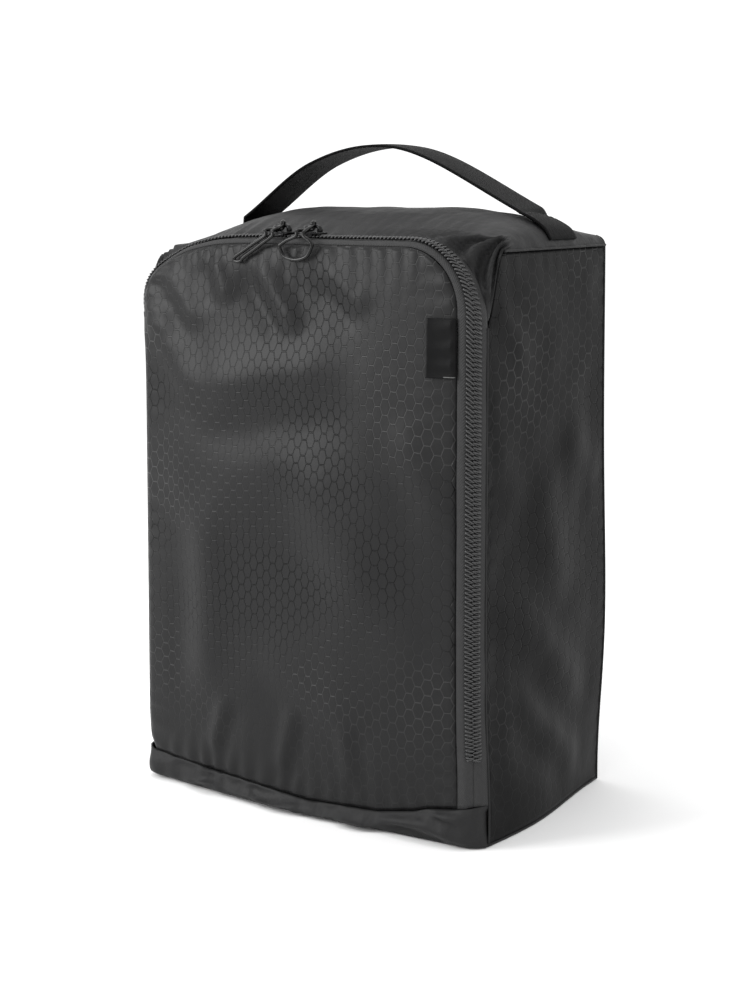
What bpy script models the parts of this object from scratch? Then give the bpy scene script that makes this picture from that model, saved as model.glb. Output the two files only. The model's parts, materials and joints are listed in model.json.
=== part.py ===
# Upright soft shoe bag: a box-shaped fabric body, a front flap closed by a U-shaped zip with two
# sliders, and a webbing handle on top. Metres, +Z up, the front faces -Y, and the bag stands on z = 0.
import math

import bmesh
import bpy
from mathutils import Vector

# Driving dimensions
BAG_WIDTH = 0.256
BAG_DEPTH = 0.160
BAG_HEIGHT = 0.360
CROWN_HEIGHT = 0.018  # how far the top panel rises above the side seams
CROWN_SQUARENESS = 8  # higher keeps the crown level further towards the sides
FRONT_BULGE = 0.006
BACK_BULGE = 0.003
SILL_HEIGHT = 0.018  # strip of the bottom panel below the flap
BOTTOM_EDGE_RADIUS = 0.005
FABRIC = 0.0012
LINING = 0.0008
GAP = 0.0004  # between pieces that are sewn together or rest on each other
FLAP_CORNER_RADIUS = 0.036
BOX_CORNER_RADIUS = 0.006
GUSSET_RUN = 0.017  # depth in which the zip's round corner becomes the box's sharp one

CHAIN_WIDTH = 0.010
TAPE_SHOWING = 0.005  # visible tape on each side of the chain
TAPE_THICKNESS = 0.0007
COIL_HEIGHT = 0.0022
COIL_SPLIT = 0.002  # between the two halves, for the sliders' wedge
COIL_FOOT = 0.050  # height where the chain ends on each leg
STOP_HEIGHT = 0.004

SLIDER_LENGTH = 0.018
SLIDER_PLATE = 0.0012
SLIDER_PLAY = 0.0004
SLIDER_WEDGE_LENGTH = 0.005
BAR_RADIUS = 0.0008
BAR_SPAN = 0.009
CORD_RADIUS = 0.001
CORD_PLAY = 0.0004
LEFT_SLIDER_X = -0.015
RIGHT_SLIDER_X = 0.008

HANDLE_WIDTH = 0.034
HANDLE_THICKNESS = 0.0016
HANDLE_Y = 0.024
HANDLE_INSET = 0.024  # from the side seams to where the webbing leaves the bag
HANDLE_RISE = 0.0395  # from its pivots to its highest point
HANDLE_SWING = math.radians(50)
ROLL_RADIUS = 0.0012

LABEL_WIDTH = 0.017
LABEL_HEIGHT = 0.0345
LABEL_DROP = 0.043  # from the top of the bag to the top of the label
LABEL_THICKNESS = 0.0006
BINDING_WIDTH = 0.008
BINDING_THICKNESS = 0.0016

# Sizes that follow from them
STRIP = CHAIN_WIDTH + 2 * TAPE_SHOWING
LEG_RADIUS = STRIP * 2 / math.pi  # the zip strip just spans the rounded upright edges
TOP_RADIUS = TAPE_SHOWING * 2 / math.pi
FRONT_Y = -BAG_DEPTH / 2
BACK_Y = BAG_DEPTH / 2
PANEL_END_Y = BACK_Y - FABRIC - GAP
TOP_SEAM_Y = FRONT_Y + TOP_RADIUS + CHAIN_WIDTH + TAPE_SHOWING
CHAIN_Y = FRONT_Y + TOP_RADIUS + CHAIN_WIDTH / 2
SIDE_FOOT = FABRIC + GAP
FLAP_FOOT = SILL_HEIGHT + GAP
LINING_LIFT = FABRIC + 2 * GAP
COIL_TOP = GAP + COIL_HEIGHT


def material(name, color, roughness, metallic=0.0):
    made = bpy.data.materials.new(name)
    made.use_nodes = True
    shader = made.node_tree.nodes["Principled BSDF"]
    shader.inputs["Base Color"].default_value = (*color, 1)
    shader.inputs["Roughness"].default_value = roughness
    shader.inputs["Metallic"].default_value = metallic
    return made


def smooth_step(t):
    t = min(max(t, 0), 1)
    return t * t * (3 - 2 * t)


def mix(a, b, t):
    return a + (b - a) * t


def steps(first, last, count):
    return [mix(first, last, i / count) for i in range(count + 1)]


def add_object(name, mesh, finish, smooth=True):
    obj = bpy.data.objects.new(name, mesh)
    bpy.context.scene.collection.objects.link(obj)
    mesh.materials.append(finish)
    if smooth:
        mesh.shade_smooth()
        mesh.set_sharp_from_angle(angle=math.radians(35))
    return obj


def mesh_from(name, verts, faces):
    mesh = bpy.data.meshes.new(name)
    mesh.from_pydata(verts, [], faces)
    shape = bmesh.new()
    shape.from_mesh(mesh)
    bmesh.ops.recalc_face_normals(shape, faces=shape.faces)
    shape.to_mesh(mesh)
    shape.free()
    return mesh


def sheet_solid(name, rows, finish):
    """A closed sheet: rows of (outer point, inner point) pairs, joined around the rim."""
    high, wide = len(rows), len(rows[0])
    verts = [pair[side] for side in (0, 1) for row in rows for pair in row]
    inner = high * wide

    def at(i, j, side=0):
        return side * inner + i * wide + j

    faces = []
    for i in range(high - 1):
        for j in range(wide - 1):
            faces.append((at(i, j), at(i, j + 1), at(i + 1, j + 1), at(i + 1, j)))
            faces.append((at(i, j, 1), at(i + 1, j, 1), at(i + 1, j + 1, 1), at(i, j + 1, 1)))
    rim = [(0, j) for j in range(wide)] + [(i, wide - 1) for i in range(1, high)]
    rim += [(high - 1, j) for j in range(wide - 2, -1, -1)] + [(i, 0) for i in range(high - 2, 0, -1)]
    for (i, j), (k, m) in zip(rim, rim[1:] + rim[:1]):
        faces.append((at(i, j), at(k, m), at(k, m, 1), at(i, j, 1)))
    return add_object(name, mesh_from(name, verts, faces), finish)


def strip_solid(name, sections, finish):
    """A closed bar through cross-sections of equal point count."""
    count = len(sections[0])
    verts = [point for section in sections for point in section]
    faces = [tuple(range(count)), tuple(range(len(verts) - count, len(verts)))]
    for i in range(len(sections) - 1):
        for j in range(count):
            k = (j + 1) % count
            faces.append((i * count + j, i * count + k, (i + 1) * count + k, (i + 1) * count + j))
    return add_object(name, mesh_from(name, verts, faces), finish)


# The front outline is walked by u: 0 to 1 up the left leg, 1 to 2 round the left corner, 2 to 3 along
# the top, 3 to 4 round the right corner and 4 to 5 down the right leg.
def top_share(u):
    if u <= 1 or u >= 4:
        return 0.0
    return min(smooth_step(u - 1), smooth_step(4 - u))


def outline(u, half_width, top, radius, foot):
    """(x, z) on a rounded outline, and its outward direction."""
    side = -1 if u < 2.5 else 1
    v = u if u < 2.5 else 5 - u
    if v <= 1:
        return side * half_width, mix(foot, top - radius, v), Vector((side, 0, 0))
    if v <= 2:
        angle = (v - 1) * math.pi / 2
        out = Vector((side * math.cos(angle), 0, math.sin(angle)))
        return side * (half_width - radius) + radius * out.x, top - radius + radius * out.z, out
    return side * (half_width - radius) * (2.5 - v) * 2, top, Vector((0, 0, 1))


def strip_leg(s):
    """(inset, y) at a distance s across the zip strip from the flap's edge, on an upright leg."""
    low, high = TAPE_SHOWING, TAPE_SHOWING + CHAIN_WIDTH
    if low < s < high:
        (a, b), (c, d) = strip_leg(low), strip_leg(high)
        return mix(a, c, (s - low) / CHAIN_WIDTH), mix(b, d, (s - low) / CHAIN_WIDTH)
    angle = s / STRIP * math.pi / 2
    return LEG_RADIUS * (1 - math.sin(angle)), FRONT_Y + LEG_RADIUS * (1 - math.cos(angle))


def strip_top(s):
    """(drop, y) across the strip on the top run, where the chain lies level."""
    if s >= TAPE_SHOWING:
        return 0.0, FRONT_Y + TOP_RADIUS + s - TAPE_SHOWING
    angle = s / TAPE_SHOWING * math.pi / 2
    return TOP_RADIUS * (1 - math.sin(angle)), FRONT_Y + TOP_RADIUS * (1 - math.cos(angle))


def strip_point(u, s, lift, foot):
    """A point on the zip strip, lifted off its face."""
    share = top_share(u)
    inset, leg_y = strip_leg(s)
    drop, top_y = strip_top(s)
    radius = FLAP_CORNER_RADIUS + LEG_RADIUS - inset
    x, z, out = outline(u, BAG_WIDTH / 2 - inset, BAG_HEIGHT - drop, radius, foot)
    ahead = min(s + 0.0002, STRIP)
    behind = ahead - 0.0002
    rise = mix(strip_leg(behind)[0] - strip_leg(ahead)[0], strip_top(behind)[0] - strip_top(ahead)[0], share)
    run = mix(strip_leg(ahead)[1] - strip_leg(behind)[1], strip_top(ahead)[1] - strip_top(behind)[1], share)
    face = (out * run - Vector((0, 1, 0)) * rise).normalized()
    return Vector((x, mix(leg_y, top_y, share), z)) + face * lift


def zip_stations():
    left = [0.0] + steps(1, 2, 7) + [2.5]
    return left + [5 - u for u in reversed(left[:-1])]


def zip_band(name, first, last, low, high, foot, finish, cuts=1):
    sections = []
    for u in zip_stations():
        across = steps(first, last, cuts)
        section = [strip_point(u, s, high, foot) for s in across]
        section += [strip_point(u, s, low, foot) for s in reversed(across)]
        sections.append(section)
    return strip_solid(name, sections, finish)


def crown(x, y):
    along = min(max((y - TOP_SEAM_Y) / (PANEL_END_Y - TOP_SEAM_Y), 0), 1)
    across = 1 - min(abs(x) / (BAG_WIDTH / 2), 1) ** CROWN_SQUARENESS
    return CROWN_HEIGHT * across * math.sin(math.pi * along) ** 0.8


def body_point(u, q):
    """A point on the body behind the zip: q runs from 0 at the zip's outer edge to 1 at the back."""
    share = top_share(u)
    front = mix(FRONT_Y + LEG_RADIUS, TOP_SEAM_Y, share)
    y = mix(front, PANEL_END_Y, q)
    turn = smooth_step(q * (PANEL_END_Y - front) / GUSSET_RUN)
    radius = mix(FLAP_CORNER_RADIUS + LEG_RADIUS, BOX_CORNER_RADIUS, turn)
    x, z, _ = outline(u, BAG_WIDTH / 2, BAG_HEIGHT, radius, SIDE_FOOT)
    return Vector((x, y, z + crown(x, y) * (1 < u < 4)))


def body_normal(u, q):
    across = body_point(min(u + 0.002, 5), q) - body_point(max(u - 0.002, 0), q)
    along = body_point(u, min(q + 0.002, 1)) - body_point(u, max(q - 0.002, 0))
    normal = across.cross(along).normalized()
    outward = body_point(u, q) - Vector((0, 0.2 * BAG_DEPTH, BAG_HEIGHT / 2))
    return normal if normal.dot(outward) > 0 else -normal


def gusset_share():
    return GUSSET_RUN / (PANEL_END_Y - FRONT_Y - LEG_RADIUS)


def lining_stations():
    """The lining is caught in the gusset's fold, so it starts behind it."""
    return steps(gusset_share() + 2 * GAP / BAG_DEPTH, 1, 6)


def depth_stations():
    return steps(0, gusset_share(), 4) + lining_stations()


def body_sheet(name, stations, depths, lift, thickness, finish):
    rows = []
    for q in depths:
        row = []
        for u in stations:
            normal = body_normal(u, q)
            point = body_point(u, q)
            row.append((point - normal * lift, point - normal * (lift + thickness)))
        rows.append(row)
    return sheet_solid(name, rows, finish)


def seam_share():
    """How much of the outline's walk the seam gap takes, on a leg and round a corner."""
    return GAP / (BAG_HEIGHT - SIDE_FOOT), GAP / (BOX_CORNER_RADIUS * math.pi / 2)


def side_panels(outer, inner):
    on_leg, _ = seam_share()
    depths = depth_stations()
    inside = lining_stations()[:-1] + [1 - 4 * GAP / BAG_DEPTH]
    for name, flip in (("left", False), ("right", True)):
        walk = steps(0, 1 - on_leg, 6)
        lining_walk = steps(2 * on_leg + LINING_LIFT / BAG_HEIGHT, 1 - 6 * on_leg, 6)
        if flip:
            walk = [5 - u for u in walk]
            lining_walk = [5 - u for u in lining_walk]
        body_sheet(f"{name}_side_panel", walk, depths, 0, FABRIC, outer)
        body_sheet(f"{name}_side_lining", lining_walk, inside, LINING_LIFT, LINING, inner)


def top_panels(outer, inner):
    _, on_corner = seam_share()
    corner = [1 + 1.6 * on_corner] + [1 + a for a in (0.12, 0.28, 0.5, 0.75)]
    walk = corner + steps(2, 3, 10) + [5 - u for u in reversed(corner)]
    body_sheet("top_panel", walk, depth_stations(), 0, FABRIC, outer)
    corner = [1 + a for a in (0.28, 0.5, 0.75)]
    walk = corner + steps(2, 3, 10) + [5 - u for u in reversed(corner)]
    inside = lining_stations()[:-1] + [1 - 4 * GAP / BAG_DEPTH]
    body_sheet("top_lining", walk, inside, LINING_LIFT, LINING, inner)


def half_width_at(z, half_width, top, radius):
    over = z - (top - radius)
    if over <= 0:
        return half_width
    return half_width - radius + math.sqrt(max(radius**2 - over**2, 0))


def corner_heights(foot, top, radius, straight, turns):
    low = steps(foot, top - radius, straight)
    arc = [top - radius + radius * math.sin(a) for a in steps(0, math.pi / 2, turns)]
    return low + arc[1:]


def plate_rows(heights, columns, half_width, top, radius, surface, thickness):
    rows = []
    for z in heights:
        half = half_width_at(z, half_width, top, radius)
        row = []
        for share in steps(-1, 1, columns):
            point = surface(share * half, z)
            row.append((point, point + thickness))
        rows.append(row)
    return rows


def flap_surface(x, z):
    half = BAG_WIDTH / 2 - LEG_RADIUS
    along = (z - FLAP_FOOT) / (BAG_HEIGHT - TOP_RADIUS - FLAP_FOOT)
    swell = max(1 - (x / half) ** 4, 0) * math.sin(math.pi * min(max(along, 0), 1)) ** 0.6
    return Vector((x, FRONT_Y - FRONT_BULGE * swell, z))


def flap_panels(outer, inner):
    half = BAG_WIDTH / 2 - LEG_RADIUS
    top = BAG_HEIGHT - TOP_RADIUS
    heights = corner_heights(FLAP_FOOT, top, FLAP_CORNER_RADIUS, 8, 6)
    thickness = Vector((0, FABRIC, 0))
    rows = plate_rows(heights, 10, half, top, FLAP_CORNER_RADIUS, flap_surface, thickness)
    sheet_solid("flap_panel", rows, outer)
    edge = 0.002
    heights = corner_heights(FLAP_FOOT + edge, top - edge, FLAP_CORNER_RADIUS - edge, 6, 5)

    def lining_surface(x, z):
        return flap_surface(x, z) + Vector((0, LINING_LIFT, 0))

    thickness = Vector((0, LINING, 0))
    rows = plate_rows(heights, 8, half - edge, top - edge, FLAP_CORNER_RADIUS - edge, lining_surface, thickness)
    sheet_solid("flap_lining", rows, inner)


def back_panels(outer, inner):
    def surface(x, z):
        across = 1 - (x / (BAG_WIDTH / 2)) ** 4
        along = math.sin(math.pi * min(max(z / BAG_HEIGHT, 0), 1))
        return Vector((x, BACK_Y + BACK_BULGE * across * along, z))

    heights = corner_heights(0, BAG_HEIGHT, BOX_CORNER_RADIUS, 8, 3)
    thickness = Vector((0, -FABRIC, 0))
    rows = plate_rows(heights, 8, BAG_WIDTH / 2, BAG_HEIGHT, BOX_CORNER_RADIUS, surface, thickness)
    sheet_solid("back_panel", rows, outer)

    def lining_surface(x, z):
        return surface(x, z) - Vector((0, LINING_LIFT, 0))

    edge = LINING_LIFT + LINING + 2 * GAP + BOX_CORNER_RADIUS / 2
    heights = corner_heights(edge, BAG_HEIGHT - edge, BOX_CORNER_RADIUS, 8, 3)
    thickness = Vector((0, -LINING, 0))
    rows = plate_rows(
        heights, 8, BAG_WIDTH / 2 - edge, BAG_HEIGHT - edge, BOX_CORNER_RADIUS, lining_surface, thickness
    )
    sheet_solid("back_lining", rows, inner)


def bottom_panels(outer, inner):
    """The bottom, which turns up at the front as the sill below the flap."""
    straight = BAG_WIDTH / 2 - LEG_RADIUS
    last_turn = math.pi / 2 - GAP / LEG_RADIUS
    right = [(straight + LEG_RADIUS * math.sin(a), a) for a in steps(0, last_turn, 5)]
    columns = [(-x, -a) for x, a in reversed(right)] + [(x, 0.0) for x in steps(-straight, straight, 6)[1:-1]] + right
    rows = []
    for x, turn in columns:
        front = FRONT_Y + LEG_RADIUS * (1 - math.cos(turn))
        wall = Vector((math.sin(turn), -math.cos(turn), 0)) * FABRIC
        bend = BOTTOM_EDGE_RADIUS * max(math.cos(turn), 0.1)
        inner_bend = max(bend - FABRIC, GAP / 2)
        row = []
        for y in (PANEL_END_Y, BAG_DEPTH / 4, 0.0, -BAG_DEPTH / 4):
            row.append((Vector((x, y, 0)), Vector((x, y, FABRIC))))
        for a in steps(0, math.pi / 2, 3):
            outside = Vector((x, front + bend * (1 - math.sin(a)), bend * (1 - math.cos(a))))
            inside = Vector((x - wall.x * math.sin(a), front - wall.y + inner_bend * (1 - math.sin(a)), FABRIC))
            inside.z += inner_bend * (1 - math.cos(a))
            row.append((outside, inside))
        sill_top = Vector((x, front, SILL_HEIGHT))
        row.append((sill_top, sill_top - wall))
        rows.append(row)
    sheet_solid("bottom_panel", rows, outer)
    edge = LINING_LIFT + LINING + 2 * GAP
    low, high = Vector((0, 0, LINING_LIFT)), Vector((0, 0, LINING_LIFT + LINING))
    rows = []
    for x in (-BAG_WIDTH / 2 + edge, BAG_WIDTH / 2 - edge):
        ends = (FRONT_Y + LEG_RADIUS + GAP, PANEL_END_Y - edge)
        rows.append([(Vector((x, y, 0)) + low, Vector((x, y, 0)) + high) for y in ends])
    sheet_solid("bottom_lining", rows, inner)


def zip_parts(tape, coil, stop):
    """The two tapes with half of the chain on each, and the stops where the chain ends."""
    split = STRIP / 2
    flap_edge = split - COIL_SPLIT / 2
    body_edge = split + COIL_SPLIT / 2
    zip_band("flap_zip_tape", GAP, flap_edge, -TAPE_THICKNESS, 0, FLAP_FOOT, tape, cuts=3)
    zip_band("body_zip_tape", body_edge, STRIP - GAP, -TAPE_THICKNESS, 0, FLAP_FOOT, tape, cuts=3)
    zip_band("flap_zip_coil", TAPE_SHOWING, flap_edge, GAP, COIL_TOP, COIL_FOOT, coil)
    zip_band("body_zip_coil", body_edge, TAPE_SHOWING + CHAIN_WIDTH, GAP, COIL_TOP, COIL_FOOT, coil)
    for name, u in (("left", 0), ("right", 5)):
        sections = []
        for foot in (COIL_FOOT - GAP, COIL_FOOT - GAP - STOP_HEIGHT):
            section = [strip_point(u, s, COIL_TOP, foot) for s in (body_edge, TAPE_SHOWING + CHAIN_WIDTH)]
            section += [strip_point(u, s, GAP, foot) for s in (TAPE_SHOWING + CHAIN_WIDTH, body_edge)]
            sections.append(section)
        strip_solid(f"{name}_zip_stop", sections, stop)


def block(name, low, high, finish, bevel=0.0):
    corners = [Vector((x, y, z)) for x in (low[0], high[0]) for y in (low[1], high[1]) for z in (low[2], high[2])]
    faces = [(0, 1, 3, 2), (4, 6, 7, 5), (0, 4, 5, 1), (2, 3, 7, 6), (0, 2, 6, 4), (1, 5, 7, 3)]
    obj = add_object(name, mesh_from(name, corners, faces), finish, smooth=False)
    if bevel:
        rounding = obj.modifiers.new("Bevel", "BEVEL")
        rounding.width = bevel
        rounding.segments = 2
    return obj


def join_to(obj, helpers):
    for helper in helpers:
        helper.hide_render = True
        helper.display_type = "WIRE"
        union = obj.modifiers.new("Union", "BOOLEAN")
        union.operation = "UNION"
        union.object = helper


def slider(side, x, nose, metal):
    """Two plates around the chain, a wedge between them and a rim on the flap's side. nose is the wedge's end."""
    half = SLIDER_LENGTH / 2
    half_width = CHAIN_WIDTH / 2 + SLIDER_PLAY + SLIDER_PLATE
    under = BAG_HEIGHT - TAPE_THICKNESS - SLIDER_PLAY
    over = BAG_HEIGHT + COIL_TOP + SLIDER_PLAY
    front, back = CHAIN_Y - half_width, CHAIN_Y + half_width
    body = block(
        f"{side}_slider_body", (x - half, front, over), (x + half, back, over + SLIDER_PLATE), metal, bevel=0.0004
    )
    belly = block(
        f"{side}_slider_belly",
        (x - half, CHAIN_Y - CHAIN_WIDTH / 2, under - SLIDER_PLATE),
        (x + half, CHAIN_Y + CHAIN_WIDTH / 2, under),
        metal,
    )
    wedge_half = COIL_SPLIT / 2 - SLIDER_PLAY
    wedge_x = x + nose * (half - SLIDER_WEDGE_LENGTH / 2 - SLIDER_PLATE)
    wedge = block(
        f"{side}_slider_wedge",
        (wedge_x - SLIDER_WEDGE_LENGTH / 2, CHAIN_Y - wedge_half, under - SLIDER_PLATE / 2),
        (wedge_x + SLIDER_WEDGE_LENGTH / 2, CHAIN_Y + wedge_half, over + SLIDER_PLATE / 2),
        metal,
    )
    rim = block(
        f"{side}_slider_rim",
        (x - half * 0.9, front + SLIDER_PLATE / 4, BAG_HEIGHT + SLIDER_PLAY),
        (x + half * 0.9, front + SLIDER_PLATE, over + SLIDER_PLATE / 2),
        metal,
    )
    join_to(body, [belly, wedge, rim])
    return over + SLIDER_PLATE


def bar_height():
    plate_top = BAG_HEIGHT + COIL_TOP + SLIDER_PLAY + SLIDER_PLATE
    return plate_top + BAR_RADIUS + 2 * CORD_PLAY + 2 * CORD_RADIUS


def bridge(side, x, metal):
    """The arch on the slider that the pull's cord goes round, standing on the plate."""
    plate_top = BAG_HEIGHT + COIL_TOP + SLIDER_PLAY + SLIDER_PLATE + GAP
    height = bar_height()
    outer, thick = BAR_SPAN / 2 + BAR_RADIUS * 2, BAR_RADIUS * 2
    path = [(-outer, plate_top), (-outer, height + BAR_RADIUS), (outer, height + BAR_RADIUS), (outer, plate_top)]
    path += [(outer - thick, plate_top), (outer - thick, height - BAR_RADIUS)]
    path += [(-outer + thick, height - BAR_RADIUS), (-outer + thick, plate_top)]
    sections = [[Vector((x + a, CHAIN_Y + b, z)) for a, z in path] for b in (-BAR_RADIUS, BAR_RADIUS)]
    return strip_solid(f"{side}_slider_bridge", sections, metal)


def pull(side, x, lean, spread, drop, finish):
    """A closed loop of cord round the bridge's bar, which goes forward over the edge and hangs in front.

    Its origin is on the bar's axis, about which it swings."""
    wrap = BAR_RADIUS + CORD_PLAY + CORD_RADIUS
    near = CORD_RADIUS * 1.3
    over_edge = FRONT_Y - FRONT_BULGE / 2 - CORD_RADIUS - CHAIN_Y
    points = []
    for angle in steps(-math.pi / 2, math.pi, 8):
        turn = (angle + math.pi / 2) / (1.5 * math.pi)
        points.append(Vector((mix(-near, near, turn), wrap * math.cos(angle), wrap * math.sin(angle))))
    bend = wrap * 1.4
    points.append(Vector((near * 1.6, mix(-wrap, over_edge, 0.5), -wrap * 0.6)))
    points.append(Vector((near * 1.8 + lean * 0.05, over_edge + bend * 0.3, -wrap - bend * 0.3)))
    down = -wrap - bend

    def hang(sign, share):
        swell = math.sin(math.pi / 2 * min(share * 1.25, 1))
        return Vector((lean * share + sign * mix(near * 1.8, spread, swell), over_edge, mix(down, -drop, share)))

    points += [hang(1, share) for share in (0.0, 0.3, 0.6, 0.85)]
    for angle in steps(0, math.pi, 4)[1:-1]:
        tip = Vector((spread * math.cos(angle), 0, -spread * 0.6 * math.sin(angle)))
        points.append(hang(0, 0.9) + tip)
    points += [hang(-1, share) for share in (0.85, 0.6, 0.3, 0.0)]
    points.append(Vector((-near * 1.8 + lean * 0.05, over_edge + bend * 0.3, -wrap - bend * 0.15)))
    points.append(Vector((-near * 1.4, mix(-wrap, over_edge, 0.5), -wrap)))
    curve = bpy.data.curves.new(f"{side}_pull", "CURVE")
    curve.dimensions = "3D"
    curve.bevel_depth = CORD_RADIUS
    curve.bevel_resolution = 1
    curve.resolution_u = 1
    spline = curve.splines.new("POLY")
    spline.points.add(len(points) - 1)
    for target, point in zip(spline.points, points):
        target.co = (*point, 1)
    spline.use_cyclic_u = True
    curve.materials.append(finish)
    obj = bpy.data.objects.new(f"{side}_pull", curve)
    obj.location = (x, CHAIN_Y, bar_height())
    bpy.context.scene.collection.objects.link(obj)
    return obj


def handle_pivot():
    """(x, z) of the line that the handle swings about, where the webbing leaves the sewn ends."""
    x = BAG_WIDTH / 2 - HANDLE_INSET
    return x, BAG_HEIGHT + crown(x, HANDLE_Y) + GAP + HANDLE_THICKNESS + ROLL_RADIUS


def handle(webbing):
    """The free webbing between its sewn ends. Its ends narrow so that it can lean over without meeting them."""
    pivot_x, pivot_z = handle_pivot()
    lowest = ROLL_RADIUS + GAP
    sections = []
    reach = math.sqrt(1 - lowest / HANDLE_RISE)
    for share in steps(-reach, reach, 24):
        height = HANDLE_RISE * (1 - share**2)
        half = min(HANDLE_WIDTH / 2, (height - lowest) / math.tan(HANDLE_SWING) * 0.8 + 0.0006)
        centre = Vector((pivot_x * share, 0, height))
        out = Vector((2 * HANDLE_RISE * share, 0, pivot_x)).normalized()
        skin = out * HANDLE_THICKNESS / 2
        side = Vector((0, half, 0))
        sections.append([centre - side - skin, centre + side - skin, centre + side + skin, centre - side + skin])
    obj = strip_solid("handle_webbing", sections, webbing)
    obj.location = (0, HANDLE_Y, pivot_z)
    return obj


def handle_ends(webbing):
    """Each end of the webbing lies on the top panel and goes into the side seam."""
    pivot_x, pivot_z = handle_pivot()
    reach = PANEL_END_Y - TOP_SEAM_Y
    depths = [(HANDLE_Y + shift - TOP_SEAM_Y) / reach for shift in steps(-HANDLE_WIDTH / 2, HANDLE_WIDTH / 2, 4)]
    straight = BAG_WIDTH / 2 - BOX_CORNER_RADIUS
    inner_end = 2.5 + (pivot_x - ROLL_RADIUS) / (2 * straight)
    _, on_corner = seam_share()
    for name in ("left", "right"):
        walk = steps(inner_end, 3, 4) + [3.33, 3.67, 4 - on_corner]
        if name == "left":
            walk = [5 - u for u in walk]
        rows = []
        for q in depths:
            row = []
            for u in walk:
                normal = body_normal(u, q)
                point = body_point(u, q)
                row.append((point + normal * (GAP + HANDLE_THICKNESS), point + normal * GAP))
            rows.append(row)
        sheet_solid(f"{name}_handle_end", rows, webbing)


def label(finish):
    """A blank tab held in the seam at the flap's right edge."""
    right = BAG_WIDTH / 2 - LEG_RADIUS - GAP
    top = BAG_HEIGHT - LABEL_DROP
    rows = []
    for z in steps(top - LABEL_HEIGHT, top, 4):
        row = []
        for x in steps(right - LABEL_WIDTH, right, 4):
            point = flap_surface(x, z)
            row.append((point - Vector((0, GAP + LABEL_THICKNESS, 0)), point - Vector((0, GAP, 0))))
        rows.append(row)
    sheet_solid("blank_label", rows, finish)


def seam_bindings(finish):
    """Tape bound over the raw edges inside the upright back seams."""
    inside = LINING_LIFT + LINING + GAP
    back = PANEL_END_Y - 4 * LINING - BINDING_THICKNESS
    for name, side in (("left", -1), ("right", 1)):
        outer = side * (BAG_WIDTH / 2 - inside - BOX_CORNER_RADIUS / 2)
        inner = outer - side * BINDING_WIDTH
        low = (min(outer, inner), back - BINDING_THICKNESS, BOX_CORNER_RADIUS * 2)
        high = (max(outer, inner), back, BAG_HEIGHT - BOX_CORNER_RADIUS * 3)
        block(f"{name}_seam_binding", low, high, finish, bevel=0.0004)


for old in list(bpy.data.objects):
    bpy.data.objects.remove(old, do_unlink=True)

honeycomb = material("honeycomb_fabric", (0.045, 0.045, 0.048), 0.55)
plain = material("plain_fabric", (0.07, 0.07, 0.073), 0.6)
lining_cloth = material("lining_fabric", (0.05, 0.05, 0.052), 0.7)
tape_cloth = material("zip_tape", (0.09, 0.09, 0.09), 0.7)
coil_nylon = material("zip_coil", (0.03, 0.03, 0.03), 0.35)
webbing_cloth = material("webbing", (0.02, 0.02, 0.02), 0.75)
label_cloth = material("label", (0.02, 0.02, 0.022), 0.5)
slider_metal = material("slider_metal", (0.03, 0.03, 0.032), 0.3, 0.8)
pull_cord = material("pull_cord", (0.015, 0.015, 0.015), 0.2)
binding_cloth = material("binding", (0.03, 0.03, 0.03), 0.8)

side_panels(honeycomb, lining_cloth)
top_panels(plain, lining_cloth)
back_panels(honeycomb, lining_cloth)
bottom_panels(plain, lining_cloth)
flap_panels(honeycomb, lining_cloth)
zip_parts(tape_cloth, coil_nylon, slider_metal)
for which, place, wedge_end, lean, spread in (
    ("left", LEFT_SLIDER_X, 1, -0.020, 0.003),
    ("right", RIGHT_SLIDER_X, -1, -0.004, 0.008),
):
    slider(which, place, wedge_end, slider_metal)
    bridge(which, place, slider_metal)
    pull(which, place, lean, spread, 0.024, pull_cord)
handle(webbing_cloth)
handle_ends(webbing_cloth)
label(label_cloth)
seam_bindings(binding_cloth)
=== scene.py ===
import json
import math

import bmesh
import bpy
import numpy as np
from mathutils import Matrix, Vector, noise

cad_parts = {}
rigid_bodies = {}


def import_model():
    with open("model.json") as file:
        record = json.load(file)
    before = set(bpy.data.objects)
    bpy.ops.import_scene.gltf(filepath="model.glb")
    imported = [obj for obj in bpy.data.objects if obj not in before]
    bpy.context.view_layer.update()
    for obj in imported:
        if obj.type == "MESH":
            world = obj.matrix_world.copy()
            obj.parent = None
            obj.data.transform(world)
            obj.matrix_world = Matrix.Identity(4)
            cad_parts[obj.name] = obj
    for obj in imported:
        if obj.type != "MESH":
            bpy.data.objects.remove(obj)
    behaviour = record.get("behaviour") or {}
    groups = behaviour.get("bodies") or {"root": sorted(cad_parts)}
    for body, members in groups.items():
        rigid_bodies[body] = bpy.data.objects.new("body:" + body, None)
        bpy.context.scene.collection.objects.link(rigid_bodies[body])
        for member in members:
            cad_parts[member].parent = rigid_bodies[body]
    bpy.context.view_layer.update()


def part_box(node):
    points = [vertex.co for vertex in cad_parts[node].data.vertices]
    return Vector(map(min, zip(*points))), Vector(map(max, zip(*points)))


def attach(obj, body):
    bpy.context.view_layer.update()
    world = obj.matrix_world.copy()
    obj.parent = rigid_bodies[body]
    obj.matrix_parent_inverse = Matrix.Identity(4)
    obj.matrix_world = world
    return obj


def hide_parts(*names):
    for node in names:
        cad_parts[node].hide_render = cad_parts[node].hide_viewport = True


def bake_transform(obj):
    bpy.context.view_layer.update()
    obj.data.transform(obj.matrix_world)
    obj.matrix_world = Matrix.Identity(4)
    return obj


for spare in list(bpy.data.objects):
    bpy.data.objects.remove(spare, do_unlink=True)

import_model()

# The bag's own sizes, read from the frame
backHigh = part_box("back_panel")[1]
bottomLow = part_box("bottom_panel")[0]
sideLow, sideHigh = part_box("right_side_panel")
flapLow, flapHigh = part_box("flap_panel")

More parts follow.
